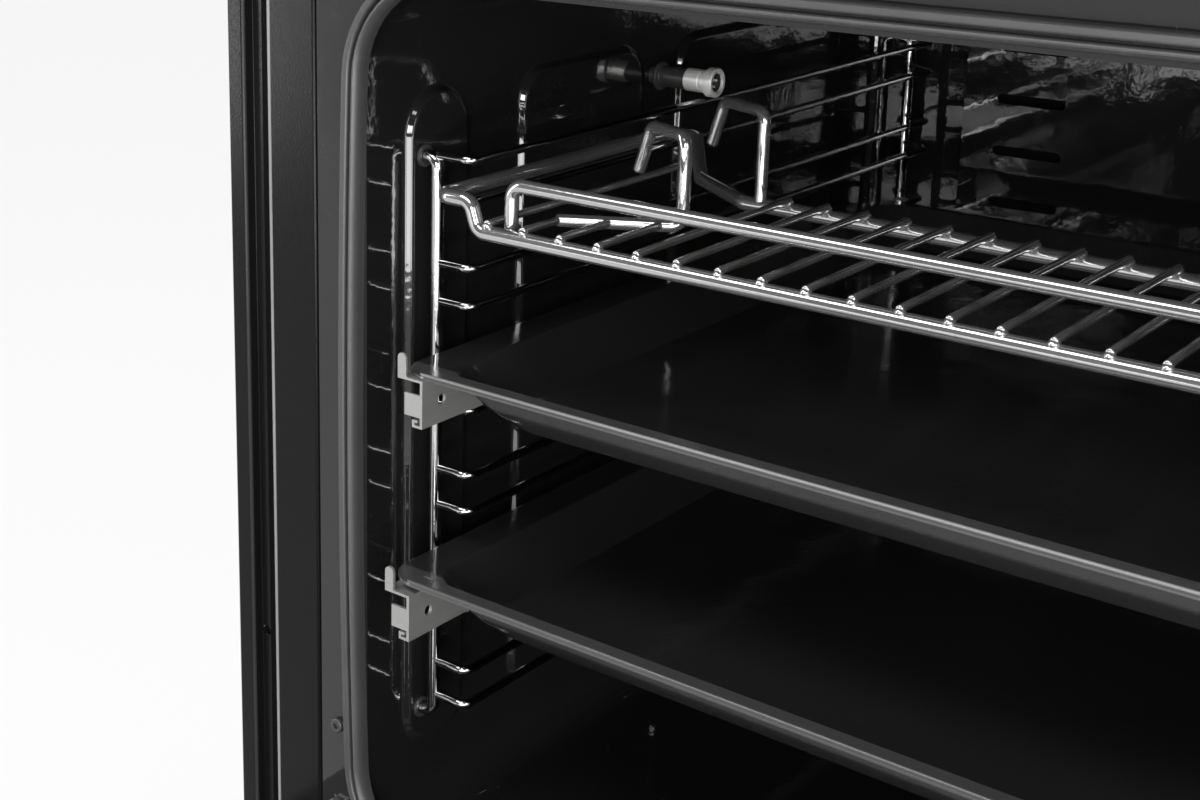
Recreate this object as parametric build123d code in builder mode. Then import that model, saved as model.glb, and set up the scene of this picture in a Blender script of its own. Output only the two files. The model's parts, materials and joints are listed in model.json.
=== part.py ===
from build123d import *
import os

os.makedirs("parts", exist_ok=True)

# Built-in oven with its door dropped open. X runs to the right, Y to the rear and Z up, in millimetres.
# The origin is at the middle of the front frame's plane, at the height of the base.

# Front and carcass
front_width = 595.0
front_height = 595.0
body_width = 556.0
body_height = 585.0
body_depth = 530.0
sheet = 1.0
gap = 0.3
contact = 0.05

# Cavity
opening_width = 456.0
opening_height = 334.0
opening_bottom = 100.0
opening_corner = 17.0
cavity_depth = 430.0
flange_width = 23.6
flange_below = 42.0
flange_above = 36.0
rib_depth = 3.0
rib_slope = 30.0
rib_rounding = 1.8
front_rib_depth_at = 38.0
front_rib_width = 35.0
front_field = (88.0, 172.0)
rear_field = (200.0, 345.0)
field_corner = 14.0
rear_rib_from_rear = 28.0

# Side trims: folded sheet with a channel for the fixing screws
trim_gap = 1.2
trim_face = 23.4
trim_channel = 13.4
channel_depth = 4.5
channel_floor = 5.1
channel_wall = 1.0
trim_return = 18.0
trim_bend = 0.9
fixing_radius = 2.25
fixing_low = 168.5
fixing_spacing = 280.0

# Seal
seal_inset = 1.8
seal_width = 7.7
seal_height = 6.0
seal_corner = 34.3
seal_lip = 3.4
seal_groove = 1.0
seal_bow = 4.0

# Side racks
ladder_rod_radius = 2.5
rail_radius = 1.7
ladder_from_wall = 9.6
ladder_front = 28.0
ladder_rear = 408.0
rail_reach = 15.8
rail_bend = 4.0
top_level = 370.0
level_pitch = 40.0
level_count = 6
pair_gap = 14.4
ladder_bottom = 147.5
ladder_top = 369.0
bush_radius = 4.2
bush_height = 1.4

# Pull-out runners
upper_level_index = 2
lower_level_index = 4
upper_front = -2.9
lower_front = -9.5
runner_length = 352.0
runner_sheet = 1.2
runner_gap = 0.4
plate_above = 5.1
plate_below = 12.0
runner_top_width = 11.5
curl_width = 4.8
curl_height = 3.0
curl_return = 2.6
end_flange_width = 8.3
end_flange_low = 8.0
end_flange_high = 0.5
tab_width = 3.9
tab_height = 7.75
runner_hole_radius = 2.0
runner_hole_back = 11.0
runner_hole_drop = 3.3
fixed_rail_length = 350.0
cage_length = 190.0
ball_radius = 2.3
ball_count = 5

# Trays
tray_half_width = 213.3
tray_depth = 358.0
tray_sheet = 1.2
tray_rim_front = 6.4
tray_rim_skirt = 2.2
tray_corner = 14.0
tray_wall_drop = 19.2
tray_wall_lean = 9.0
tray_inner_corner = 18.0
tray_floor_radius = 6.0
lower_tray_rise = 3.0
rise_rib_width = 5.0
rise_rib_x = 205.5

# Wire rack of the top level
rack_rod_radius = 2.8
rack_cross_radius = 1.4
rack_weld = 0.6
rack_front = 12.0
rack_rear = 110.0
rack_level = 350.1
rack_drop_half = 187.0
rack_drop_lean = 3.5
rack_cross_spacing = 15.2
rack_cross_count = 25
rack_outer_half = 203.8
rack_horn_rear = 158.0
rack_diagonal = (33.0, 24.0)
rack_rear_half = 140.0
rack_bend = 4.5
guard_half = 176.3
guard_behind = 4.9
guard_height = 17.2
guard_radius = 2.5
hook_radius = 2.3
hook_height = 34.6
hook_bend = 4.0
hook_drop = 17.5
front_hook_foot = (168.7, 32.2)
front_hook_post = (131.0, 53.8)
front_hook_end = (150.2, 62.4)
rear_hook_post = 133.0
rear_hook_end = (155.5, 120.0)
hook_end_lean = 5.5

# Rotating spit socket
spit_depth_at = 183.0
spit_height_at = 378.4
spit_shaft_radius = 3.5
spit_reach = 28.5
spit_sleeve_radius = 4.4
spit_barrel_radius = 5.2
spit_ring_radius = 6.2

# Heating and air
tube_radius = 3.3
fan_height_at = 267.0
fan_radius = 70.0
fan_blades = 14
fan_shaft_radius = 4.0
cover_width = 372.0
cover_height = 290.0
cover_depth = 26.0
cover_corner = 24.0
grill_height_at = 420.0
grill_front = 125.0
lamp_radius = 24.0
lamp_depth_at = 260.0
insulation = 22.0
blower_radius = 44.0
blower_depth_at = 410.0
blower_x = -70.0
blower_height = 30.0
blower_motor_radius = 20.0
blower_motor_clearance = 10.0
terminal_x = 203.0
terminal_width = 66.0
terminal_height = 30.0
terminal_below_top = 25.0

# Control panel
panel_height = 113.0
panel_wall = 2.0
knob_radius = 20.0
knob_depth = 24.0
knob_x = 200.0
knob_height_at = front_height - 60.0
knob_shaft_radius = 3.0
display_width = 124.0
display_height = 32.0
display_height_at = front_height - 44.0
button_radius = 5.0
button_spacing = 24.0
button_height_at = front_height - 85.0
button_travel = 1.5

# Door and its hinges
door_bottom = 62.0
door_top = front_height - panel_height - 10.0
door_width = 591.0
door_thickness = 24.0
door_standoff = seal_height + gap
glass_thickness = 4.0
door_frame_lip = 6.0
window_recess = 6.0
window_rebate = 5.0
profile_wall = 1.2
handle_radius = 7.0
handle_length = 470.0
handle_standoff = 38.0
handle_from_top = 34.0
handle_post_inset = 24.0
handle_screw_radius = 3.0
hinge_y = -17.0
hinge_z = 74.0
hinge_arm_x = 243.4
hinge_arm_thickness = 5.0
hinge_slot = 5.8
hinge_slot_height = 47.0
hinge_pin_radius = 3.0
hinge_eye_radius = 7.0
receiver_wall = 1.6
receiver_depth = 40.0
receiver_pin_radius = 2.5
hinge_body_width = 8.2
hinge_body_length = 170.0

# Places that follow from the sizes above
opening_half = opening_width / 2
opening_middle = opening_bottom + opening_height / 2
opening_top = opening_bottom + opening_height
flange_half = opening_half + flange_width
flange_bottom = opening_bottom - flange_below
flange_top = opening_top + flange_above
flange_height = flange_top - flange_bottom
flange_middle = (flange_top + flange_bottom) / 2
body_half = body_width / 2
front_half = front_width / 2
ladder_x = opening_half - ladder_from_wall
rail_x = ladder_x - rail_reach
plate_inner_x = rail_x - rail_radius - runner_gap
plate_outer_x = plate_inner_x - runner_sheet
levels = [top_level - level_pitch * i for i in range(level_count)]
upper_level = levels[upper_level_index]
lower_level = levels[lower_level_index]
panel_bottom = front_height - panel_height
door_inner_y = -door_standoff
door_outer_y = -door_standoff - door_thickness
hinge_body_inner = hinge_arm_x - hinge_body_width / 2
hinge_body_outer = hinge_arm_x + hinge_body_width / 2
receiver_low = flange_bottom + 6
post_x = handle_length / 2 - handle_post_inset
handle_z = door_top - handle_from_top
receiver_high = receiver_low + hinge_slot_height + 4
door_hinge_axis = Axis((0, hinge_y, hinge_z), (1, 0, 0))


def behind(depth):
    """Plane parallel to the front and facing it, this far behind the front plane."""
    return Plane.XZ.offset(-depth)


def across(x):
    """Plane at this X: its own x is the depth and its own y the height."""
    return Plane.YZ.offset(x)


def block(x, y, z, mode=Mode.ADD):
    """Box between two limits on each axis, in the open part."""
    with Locations(((x[0] + x[1]) / 2, (y[0] + y[1]) / 2, (z[0] + z[1]) / 2)):
        Box(x[1] - x[0], y[1] - y[0], z[1] - z[0], mode=mode)


def rod(points, bend, radius):
    """Bent rod along these points, in the open part."""
    with BuildLine() as route:
        FilletPolyline(*points, radius=bend)
    with BuildSketch(Plane(origin=route.line @ 0, z_dir=route.line % 0)) as section:
        Circle(radius)
    sweep(section.sketch, path=route.wire())


def bar(start, end, radius, mode=Mode.ADD):
    """Straight round bar between two points, in the open part."""
    run = Vector(end) - Vector(start)
    with BuildSketch(Plane(origin=start, z_dir=run)) as section:
        Circle(radius)
    extrude(section.sketch, amount=run.length, mode=mode)


def save(name, piece):
    piece.label = name
    export_step(piece, "parts/" + name + ".step")


def save_pair(name, piece):
    """Left piece as built, and its mirror image on the right."""
    save(name + "_left", piece)
    save(name + "_right", mirror(piece, about=Plane.YZ))


# Cavity: enamelled box open to the front, with its front flange and pressed ribs
rib_low = opening_bottom + 28
rib_high = opening_top - 41
rib_middle = (rib_low + rib_high) / 2
rib_length = rib_high - rib_low
rib_places = (front_rib_depth_at, cavity_depth - rear_rib_from_rear)


def wall_pressings(x, inset):
    """Outlines of the side wall's pressings, drawn smaller by the inset."""
    with BuildSketch(across(x)) as outlines:
        for place in rib_places:
            with Locations((place, rib_middle)):
                SlotOverall(rib_length - 2 * inset, front_rib_width - 2 * inset, rotation=90)
        for start, end in (front_field, rear_field):
            with Locations(((start + end) / 2, rib_middle)):
                RectangleRounded(end - start - 2 * inset, rib_length - 2 * inset, field_corner - inset)
    return outlines.sketch


def pressing_edges(edges, x):
    """Outlines of the pressings on both walls, at this distance from the middle."""
    upright = edges.filter_by(lambda e: e.bounding_box().size.X < 0.01)
    on_wall = upright.filter_by(lambda e: abs(abs(e.center().X) - x) < 0.01)
    within_height = on_wall.filter_by_position(Axis.Z, rib_low - 1, rib_high + 1)
    return within_height.filter_by_position(Axis.Y, 10, cavity_depth - 5)


with BuildPart() as cavity:
    with BuildSketch(behind(0)):
        with Locations((0, opening_middle)):
            RectangleRounded(
                opening_width + 2 * sheet, opening_height + 2 * sheet, opening_corner + sheet
            )
    extrude(amount=-(cavity_depth + sheet))
    with BuildSketch(behind(0)):
        with Locations((0, flange_middle)):
            Rectangle(2 * flange_half, flange_height)
    extrude(amount=-sheet)
    with BuildSketch(behind(0)):
        with Locations((0, opening_middle)):
            RectangleRounded(opening_width, opening_height, opening_corner)
    extrude(amount=-cavity_depth, mode=Mode.SUBTRACT)
    for sign in (-1, 1):
        raised = wall_pressings(sign * opening_half, 0)
        extrude(raised, amount=-sign * rib_depth, taper=rib_slope)
    fillet(pressing_edges(cavity.edges(), opening_half - rib_depth), radius=rib_rounding)
    fillet(pressing_edges(cavity.edges(), opening_half), radius=rib_rounding)
    for sign in (-1, 1):
        hollow = wall_pressings(sign * (opening_half + sheet), sheet)
        extrude(hollow, amount=-sign * rib_depth, taper=rib_slope, mode=Mode.SUBTRACT)
        slot_x = sign * hinge_arm_x
        block(
            (slot_x - hinge_slot / 2, slot_x + hinge_slot / 2),
            (-sheet, 2 * sheet),
            (flange_bottom + 8, flange_bottom + 8 + hinge_slot_height),
            Mode.SUBTRACT,
        )
    # holes for the elements, lamp, probe, fan and spit shafts, and ladder fixings
    element_x = (170.0, 122.0)
    for x in element_x:
        bar(
            (-x, cavity_depth - 2, grill_height_at),
            (-x, cavity_depth + 3, grill_height_at),
            tube_radius + gap,
            Mode.SUBTRACT,
        )
    ring_terminal_x = 12.0
    ring_radius = fan_radius + 18
    for x in (-ring_terminal_x, ring_terminal_x):
        ring_z = fan_height_at - ring_radius
        bar((x, cavity_depth - 2, ring_z), (x, cavity_depth + 3, ring_z), tube_radius + gap, Mode.SUBTRACT)
    bar(
        (0, cavity_depth - 2, fan_height_at),
        (0, cavity_depth + 3, fan_height_at),
        fan_shaft_radius + 2,
        Mode.SUBTRACT,
    )
    bar(
        (0, lamp_depth_at, opening_top - 2),
        (0, lamp_depth_at, opening_top + 3),
        lamp_radius,
        Mode.SUBTRACT,
    )
    bar(
        (-opening_half - 3, spit_depth_at, spit_height_at),
        (-opening_half + rib_depth + 3, spit_depth_at, spit_height_at),
        spit_shaft_radius + gap,
        Mode.SUBTRACT,
    )
    for sign in (-1, 1):
        for y in (ladder_front, ladder_rear):
            for z in (ladder_bottom, ladder_top):
                bar(
                    (sign * (opening_half + 3), y, z),
                    (sign * (opening_half - rib_depth - 3), y, z),
                    ladder_rod_radius + contact,
                    Mode.SUBTRACT,
                )
    # front flange screw holes
    flange_screw_x = flange_half - 8.8
    flange_screw_z = (opening_bottom + 44.5, opening_top + 18)
    flange_screw_radius = 1.6
    for sign in (-1, 1):
        for z in flange_screw_z:
            bar(
                (sign * flange_screw_x, -1, z),
                (sign * flange_screw_x, sheet + 1, z),
                flange_screw_radius + contact,
                Mode.SUBTRACT,
            )
save("cavity", cavity.part)

# Side trims
trim_inner = flange_half + trim_gap
fold_1 = trim_inner + trim_face
fold_4 = fold_1 + trim_channel
fold_3 = fold_4 - channel_wall
fold_2 = fold_3 - channel_floor
fixing_x = (fold_2 + fold_3) / 2
half_sheet = sheet / 2

with BuildPart() as side_trim:
    with BuildSketch(Plane.XY.offset(2 * sheet)):
        with BuildLine():
            FilletPolyline(
                (-trim_inner - half_sheet, trim_return),
                (-trim_inner - half_sheet, half_sheet),
                (-fold_1, half_sheet),
                (-fold_2, channel_depth + half_sheet),
                (-fold_3, channel_depth + half_sheet),
                (-fold_4, half_sheet),
                (-front_half + half_sheet, half_sheet),
                (-front_half + half_sheet, trim_return),
                radius=trim_bend,
            )
        trace(line_width=sheet)
    extrude(amount=body_height - 4 * sheet)
    for z in (fixing_low, fixing_low + fixing_spacing):
        bar((-fixing_x, 0, z), (-fixing_x, 10, z), fixing_radius, Mode.SUBTRACT)
save_pair("side_trim", side_trim.part)

# Door seal: a ring on the flange with an outer lip, a groove and the bulb
seal_inner_width = opening_width + 2 * seal_inset
seal_inner_height = opening_height + 2 * seal_inset


def seal_outline(outside):
    """Outline at this distance outside the seal's inner edge; its tall sides bow outwards."""
    half = seal_inner_width / 2 + outside
    corner_x = half - seal_bow
    low = opening_middle - seal_inner_height / 2 - outside
    high = opening_middle + seal_inner_height / 2 + outside
    with BuildSketch(behind(-seal_height)) as outline:
        with BuildLine():
            Line((-corner_x, high), (corner_x, high))
            ThreePointArc((corner_x, high), (half, opening_middle), (corner_x, low))
            Line((corner_x, low), (-corner_x, low))
            ThreePointArc((-corner_x, low), (-half, opening_middle), (-corner_x, high))
        make_face()
        fillet(outline.vertices(), radius=seal_corner + outside)
    return outline.sketch


groove_depth = 0.7 * seal_height
with BuildPart() as door_seal:
    extrude(seal_outline(seal_width), amount=-seal_height)
    extrude(seal_outline(seal_width - seal_lip), amount=-groove_depth, mode=Mode.SUBTRACT)
    extrude(seal_outline(seal_width - seal_lip - seal_groove), amount=-groove_depth)
    extrude(seal_outline(0), amount=-seal_height, mode=Mode.SUBTRACT)
    fillet(door_seal.edges().group_by(Axis.Y)[0], radius=0.8)
save("door_seal", door_seal.part)

# Insulation jacket around the cavity
element_room = 14.0
jacket_front = 8.0
jacket_inner_x = opening_half + sheet + gap
jacket_rear = cavity_depth + sheet + insulation
jacket_top = opening_top + sheet + gap + insulation
jacket_bottom = opening_bottom - sheet - element_room - insulation + 6
with BuildPart() as cavity_insulation:
    block(
        (-jacket_inner_x - insulation, jacket_inner_x + insulation),
        (jacket_front, jacket_rear),
        (jacket_bottom, jacket_top),
    )
    block(
        (-jacket_inner_x, jacket_inner_x),
        (jacket_front - 1, cavity_depth + sheet + gap),
        (opening_bottom - sheet - element_room, opening_top + sheet + gap),
        Mode.SUBTRACT,
    )
    for sign in (-1, 1):
        notch = sorted((sign * (hinge_arm_x - 8), sign * (jacket_inner_x + insulation + 1)))
        block(notch, (jacket_front - 1, receiver_depth + 4), (0, receiver_high + 5), Mode.SUBTRACT)
    lamp_start = (0, lamp_depth_at, opening_top)
    bar(lamp_start, (0, lamp_depth_at, opening_top + 60), lamp_radius + 4, Mode.SUBTRACT)
    bar((0, cavity_depth, fan_height_at), (0, jacket_rear + 1, fan_height_at), 14, Mode.SUBTRACT)
    for x in (-ring_terminal_x, ring_terminal_x):
        ring_z = fan_height_at - ring_radius
        bar((x, cavity_depth, ring_z), (x, jacket_rear + 1, ring_z), tube_radius + 1, Mode.SUBTRACT)
    bottom_element_z = opening_bottom - sheet - element_room / 2
    for x in element_x:
        for z in (grill_height_at, bottom_element_z):
            bar((-x, cavity_depth, z), (-x, jacket_rear + 1, z), tube_radius + 1, Mode.SUBTRACT)
    bar(
        (-opening_half - sheet, spit_depth_at, spit_height_at),
        (-body_half, spit_depth_at, spit_height_at),
        spit_shaft_radius + 2,
        Mode.SUBTRACT,
    )
    for sign in (-1, 1):
        for y in (ladder_front, ladder_rear):
            for z in (ladder_bottom, ladder_top):
                bar(
                    (sign * opening_half, y, z),
                    (sign * (opening_half + 12), y, z),
                    ladder_rod_radius + 2,
                    Mode.SUBTRACT,
                )
save("cavity_insulation", cavity_insulation.part)

# Housing panels
panel_front = trim_return + 1.0
vent_width = 3.0
vent_length = 34.0

with BuildPart() as housing_side:
    block((-body_half, -body_half + sheet), (panel_front, body_depth), (sheet, body_height - sheet))
    block((-body_half, -body_half + 10), (panel_front, panel_front + sheet), (sheet, body_height - sheet))
save_pair("housing", housing_side.part)

with BuildPart() as housing_top:
    block((-body_half, body_half), (panel_front, body_depth), (body_height - sheet, body_height))
    with Locations(Plane.XY.offset(body_height - sheet / 2)):
        with Locations((blower_x, blower_depth_at)):
            with GridLocations(vent_length + 8, 9, 3, 8):
                Box(vent_length, vent_width, 2 * sheet, mode=Mode.SUBTRACT)
save("housing_top", housing_top.part)

with BuildPart() as housing_base:
    block((-body_half, body_half), (panel_front, body_depth), (0, sheet))
    for sign in (-1, 1):
        foot_x = sign * (body_half - 60)
        block((foot_x - 12, foot_x + 12), (panel_front + 20, body_depth - 20), (sheet, 12))
        block(
            (foot_x - 12 + sheet, foot_x + 12 - sheet),
            (panel_front + 20 + sheet, body_depth - 20 - sheet),
            (-1, 12 - sheet),
            Mode.SUBTRACT,
        )
save("housing_base", housing_base.part)

with BuildPart() as housing_rear:
    block(
        (-body_half + sheet, body_half - sheet),
        (body_depth - sheet, body_depth),
        (sheet, body_height - sheet),
    )
    with BuildSketch(behind(body_depth)):
        with Locations((0, fan_height_at)):
            with GridLocations(vent_length + 8, 9, 3, 9):
                SlotOverall(vent_length, vent_width)
    extrude(amount=2 * sheet, mode=Mode.SUBTRACT)
save("housing_rear", housing_rear.part)

# Base trim under the door, with air slots
trim_front_y = door_outer_y + 14
base_trim_top = flange_bottom - 2
with BuildPart() as base_trim:
    block((-front_half + 2, front_half - 2), (trim_front_y, trim_front_y + 2), (0, base_trim_top - 14))
    block((-front_half + 2, front_half - 2), (trim_front_y, panel_front - 1), (0, 2))
    block((-flange_half, flange_half), (-2, 0), (0, flange_bottom - 1))
    with BuildSketch(behind(trim_front_y)):
        with Locations((0, base_trim_top / 2 - 6)):
            with GridLocations(48, 9, 9, 3):
                SlotOverall(40, 4)
    extrude(amount=-2, mode=Mode.SUBTRACT)
save("base_trim", base_trim.part)

# Hinge receivers behind the flange slots
with BuildPart() as hinge_receivers:
    for sign in (-1, 1):
        x = sign * hinge_arm_x
        reach = hinge_slot / 2
        block(
            (x - reach - receiver_wall, x + reach + receiver_wall),
            (sheet, sheet + receiver_depth),
            (receiver_low - receiver_wall, receiver_high + receiver_wall),
        )
        block(
            (x - reach, x + reach),
            (sheet - 1, sheet + receiver_depth + 1),
            (receiver_low, receiver_high),
            Mode.SUBTRACT,
        )
        bar(
            (x - reach - receiver_wall, sheet + 26, receiver_low + 9),
            (x + reach + receiver_wall, sheet + 26, receiver_low + 9),
            receiver_pin_radius,
        )
save("hinge_receivers", hinge_receivers.part)

# Hinge arms: hooked over the receivers' cross pins, with an eye for the door's hinge pin
hook_y = sheet + 26
hook_z = receiver_low + 9
arm_top = flange_bottom + 8 + hinge_slot_height - 1.5
with BuildPart() as hinge_arms:
    for sign in (-1, 1):
        with BuildSketch(across(sign * hinge_arm_x - hinge_arm_thickness / 2)):
            with BuildLine():
                Polyline(
                    (hinge_y, hinge_z - 5),
                    (hook_y - 12, hook_z + 4),
                    (hook_y - 12, hook_z - 4),
                    (hook_y + 9, hook_z - 4),
                    (hook_y + 9, arm_top),
                    (-4, arm_top),
                    (-7, arm_top - 10),
                    (hinge_y, hinge_z + 5),
                    close=True,
                )
            make_face()
            with Locations((hinge_y, hinge_z)):
                Circle(hinge_eye_radius)
            with Locations((hook_y, hook_z)):
                Circle(receiver_pin_radius + contact, mode=Mode.SUBTRACT)
            with Locations((hook_y, hook_z - 3)):
                Rectangle(2 * receiver_pin_radius + 2 * contact, 6, mode=Mode.SUBTRACT)
            with Locations((hinge_y, hinge_z)):
                Circle(hinge_pin_radius + contact, mode=Mode.SUBTRACT)
        extrude(amount=hinge_arm_thickness)
save("hinge_arms", hinge_arms.part)

# Side racks: two uprights hooked into the wall, and a pair of rails at each level
with BuildPart() as ladder:
    for y in (ladder_front, ladder_rear):
        rod(
            (
                (-opening_half - sheet - 2, y, ladder_top),
                (-ladder_x, y, ladder_top),
                (-ladder_x, y, ladder_bottom),
                (-opening_half - sheet - 2, y, ladder_bottom),
            ),
            rail_bend,
            ladder_rod_radius,
        )
    for level in levels:
        for z in (level, level - pair_gap):
            rod(
                (
                    (-ladder_x, ladder_front, z),
                    (-rail_x, ladder_front, z),
                    (-rail_x, ladder_rear - 10, z),
                    (-ladder_x, ladder_rear, z),
                ),
                rail_bend,
                rail_radius,
            )
save_pair("ladder", ladder.part)

# Bushes that hold the uprights' ends in the walls
with BuildPart() as ladder_bushes:
    for sign in (-1, 1):
        for y in (ladder_front, ladder_rear):
            for z in (ladder_bottom, ladder_top):
                rib_face = opening_half - rib_depth
                start = (sign * rib_face, y, z)
                bar(start, (sign * (rib_face - bush_height), y, z), bush_radius)
                bar(
                    (sign * (rib_face + 1), y, z),
                    (sign * (rib_face - 4), y, z),
                    ladder_rod_radius + contact,
                    Mode.SUBTRACT,
                )
save("ladder_bushes", ladder_bushes.part)


# Pull-out runners: fixed rail, ball cage and sliding channel
def rails_at(level):
    """Pair of fixed rails hooked over the level's upper wires."""
    with BuildPart() as rails:
        web_outer = rail_x + rail_radius + 3.2
        rear = ladder_front + 4 + fixed_rail_length
        lip = level + rail_radius + contact
        for sign in (-1, 1):
            near = sign * (web_outer - sheet)
            far = sign * web_outer
            block((min(near, far), max(near, far)), (ladder_front + 4, rear), (level - 11, lip + sheet))
            hook = sign * (rail_x - rail_radius + 0.4)
            block((min(hook, far), max(hook, far)), (ladder_front + 4, rear), (lip, lip + sheet))
    return rails.part


def slide_at(level, front):
    """Sliding channel of the left side: top, plate, hemmed foot, end flange and tab."""
    rear = front + runner_length
    top = level + plate_above
    with BuildPart() as slide:
        block((-plate_inner_x, -plate_outer_x), (front, rear), (level - plate_below, top + sheet))
        block((-plate_outer_x - runner_top_width, -plate_outer_x), (front, rear), (top, top + sheet))
        foot = level - plate_below
        hem = -plate_outer_x - curl_width
        block((hem, -plate_outer_x), (front, rear), (foot, foot + sheet))
        block((hem, hem + sheet), (front, rear), (foot, foot + curl_height))
        block((hem, hem + curl_return), (front, rear), (foot + curl_height - sheet, foot + curl_height))
        block(
            (-plate_outer_x - end_flange_width, -plate_outer_x),
            (front, front + runner_sheet),
            (level - end_flange_low, level + end_flange_high),
        )
        tab_right = -plate_outer_x - runner_top_width + tab_width
        tab_middle = tab_right - tab_width / 2
        with BuildSketch(behind(front)):
            with Locations((tab_middle, top + tab_height / 2)):
                Rectangle(tab_width, tab_height)
            with Locations((tab_middle, top + tab_height)):
                Circle(tab_width / 2)
        extrude(amount=-runner_sheet)
        bar(
            (-plate_outer_x - 2, front + runner_hole_back, level - runner_hole_drop),
            (-plate_outer_x + 1, front + runner_hole_back, level - runner_hole_drop),
            runner_hole_radius,
            Mode.SUBTRACT,
        )
    return slide.part


def cages_at(level, front):
    """Left and right ball cages, with their balls, between fixed rail and slide."""
    cage_x = plate_inner_x + 3.0
    cage_z = level - 6.2
    start = front + runner_length / 2 - cage_length / 2 + 14
    with BuildPart() as cages:
        for sign in (-1, 1):
            x = sign * cage_x
            block(
                (x - 0.5, x + 0.5),
                (start, start + cage_length),
                (cage_z - ball_radius - 0.4, cage_z + ball_radius + 0.4),
            )
            for i in range(ball_count):
                y = start + cage_length * (i + 0.5) / ball_count
                with Locations((x, y, cage_z)):
                    Sphere(ball_radius, rotation=(20, 90, 0))
    return cages.part


upper_slide = slide_at(upper_level, upper_front)
lower_slide = slide_at(lower_level, lower_front)
save("upper_rails", rails_at(upper_level))
save("lower_rails", rails_at(lower_level))
save_pair("upper_slide", upper_slide)
save_pair("lower_slide", lower_slide)
save("upper_ball_cages", cages_at(upper_level, upper_front))
save("lower_ball_cages", cages_at(lower_level, lower_front))


def tray_at(level, slide_front, rise):
    """Enamelled tray whose rim lies on the slides, behind their tabs, or on ribs that raise it."""
    slide_top = level + plate_above + sheet + 0.1
    rim_under = slide_top + rise
    rim_top = rim_under + tray_rim_skirt
    front = slide_front + runner_sheet + 0.1
    middle_y = front + tray_depth / 2
    well_width = 2 * (plate_outer_x - 1.6)
    well_depth = tray_depth - 2 * tray_rim_front
    lean = tray_wall_lean
    with BuildPart() as tray:
        with BuildSketch(Plane.XY.offset(rim_under)):
            with Locations((0, middle_y)):
                RectangleRounded(2 * tray_half_width, tray_depth, tray_corner)
        extrude(amount=tray_rim_skirt)
        with BuildSketch(Plane.XY.offset(rim_top - tray_sheet)):
            with Locations((0, middle_y)):
                RectangleRounded(well_width, well_depth, tray_inner_corner)
        with BuildSketch(Plane.XY.offset(rim_top - tray_wall_drop)):
            with Locations((0, middle_y)):
                RectangleRounded(well_width - 2 * lean, well_depth - 2 * lean, tray_inner_corner)
        loft()
        under = tray.faces().sort_by(Axis.Z)[0]
        fillet(under.edges(), radius=tray_floor_radius)
        # room inside the well
        with BuildSketch(Plane.XY.offset(rim_top + contact)):
            with Locations((0, middle_y)):
                RectangleRounded(
                    well_width - 2 * tray_sheet, well_depth - 2 * tray_sheet, tray_inner_corner - tray_sheet
                )
        with BuildSketch(Plane.XY.offset(rim_top - tray_wall_drop + tray_sheet)):
            with Locations((0, middle_y)):
                RectangleRounded(
                    well_width - 2 * lean - 2 * tray_sheet,
                    well_depth - 2 * lean - 2 * tray_sheet,
                    tray_inner_corner - tray_sheet,
                )
        loft(mode=Mode.SUBTRACT)
        # hollow under the rim, inside its turned-down edge
        with BuildSketch(Plane.XY.offset(rim_under)):
            with Locations((0, middle_y)):
                RectangleRounded(
                    2 * (tray_half_width - tray_sheet), tray_depth - 2 * tray_sheet, tray_corner - tray_sheet
                )
                RectangleRounded(well_width, well_depth, tray_inner_corner, mode=Mode.SUBTRACT)
        extrude(amount=tray_rim_skirt - tray_sheet, mode=Mode.SUBTRACT)
        if rise > 0:
            with BuildSketch(Plane.XY.offset(slide_top)):
                with Locations((-rise_rib_x, middle_y), (rise_rib_x, middle_y)):
                    SlotOverall(tray_depth - 2 * tray_corner, rise_rib_width, rotation=90)
            extrude(amount=rise + tray_rim_skirt - tray_sheet / 2)
    return tray.part


save("upper_tray", tray_at(upper_level, upper_front, 0))
save("lower_tray", tray_at(lower_level, lower_front, lower_tray_rise))

# Wire rack: bent frame rod, cross wires, raised front guard and four hooks
rail_top_z = levels[0] - pair_gap + rail_radius
horn_z = rail_top_z + rack_rod_radius + gap
horn_x = rack_drop_half + rack_drop_lean
half_frame = (
    (0, rack_front, rack_level),
    (-rack_drop_half, rack_front, rack_level),
    (-horn_x, rack_front, horn_z),
    (-rack_outer_half, rack_front, horn_z),
    (-rack_outer_half, rack_horn_rear, horn_z),
    (-horn_x, rack_horn_rear, horn_z),
    (-rack_rear_half - rack_diagonal[0], rack_rear + rack_diagonal[1], rack_level),
    (-rack_rear_half, rack_rear, rack_level),
    (0, rack_rear, rack_level),
)
cross_z = rack_level + rack_rod_radius + rack_cross_radius - rack_weld
foot_start = Vector(-front_hook_foot[0], front_hook_foot[1])
foot_run = Vector(-front_hook_post[0], front_hook_post[1]) - foot_start
foot_z = cross_z - rack_cross_radius


def cross_wire_rear(x):
    """Where the cross wire at this X ends: on the hook's foot rod, the diagonal or the rear rod."""
    along_foot = (x - foot_start.X) / foot_run.X
    if 0 < along_foot < 1 and abs(x) > front_hook_post[0] + 2:
        return foot_start.Y + along_foot * foot_run.Y
    past_bend = max(-x - rack_rear_half, 0)
    return rack_rear + past_bend * rack_diagonal[1] / rack_diagonal[0] + 1


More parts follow.
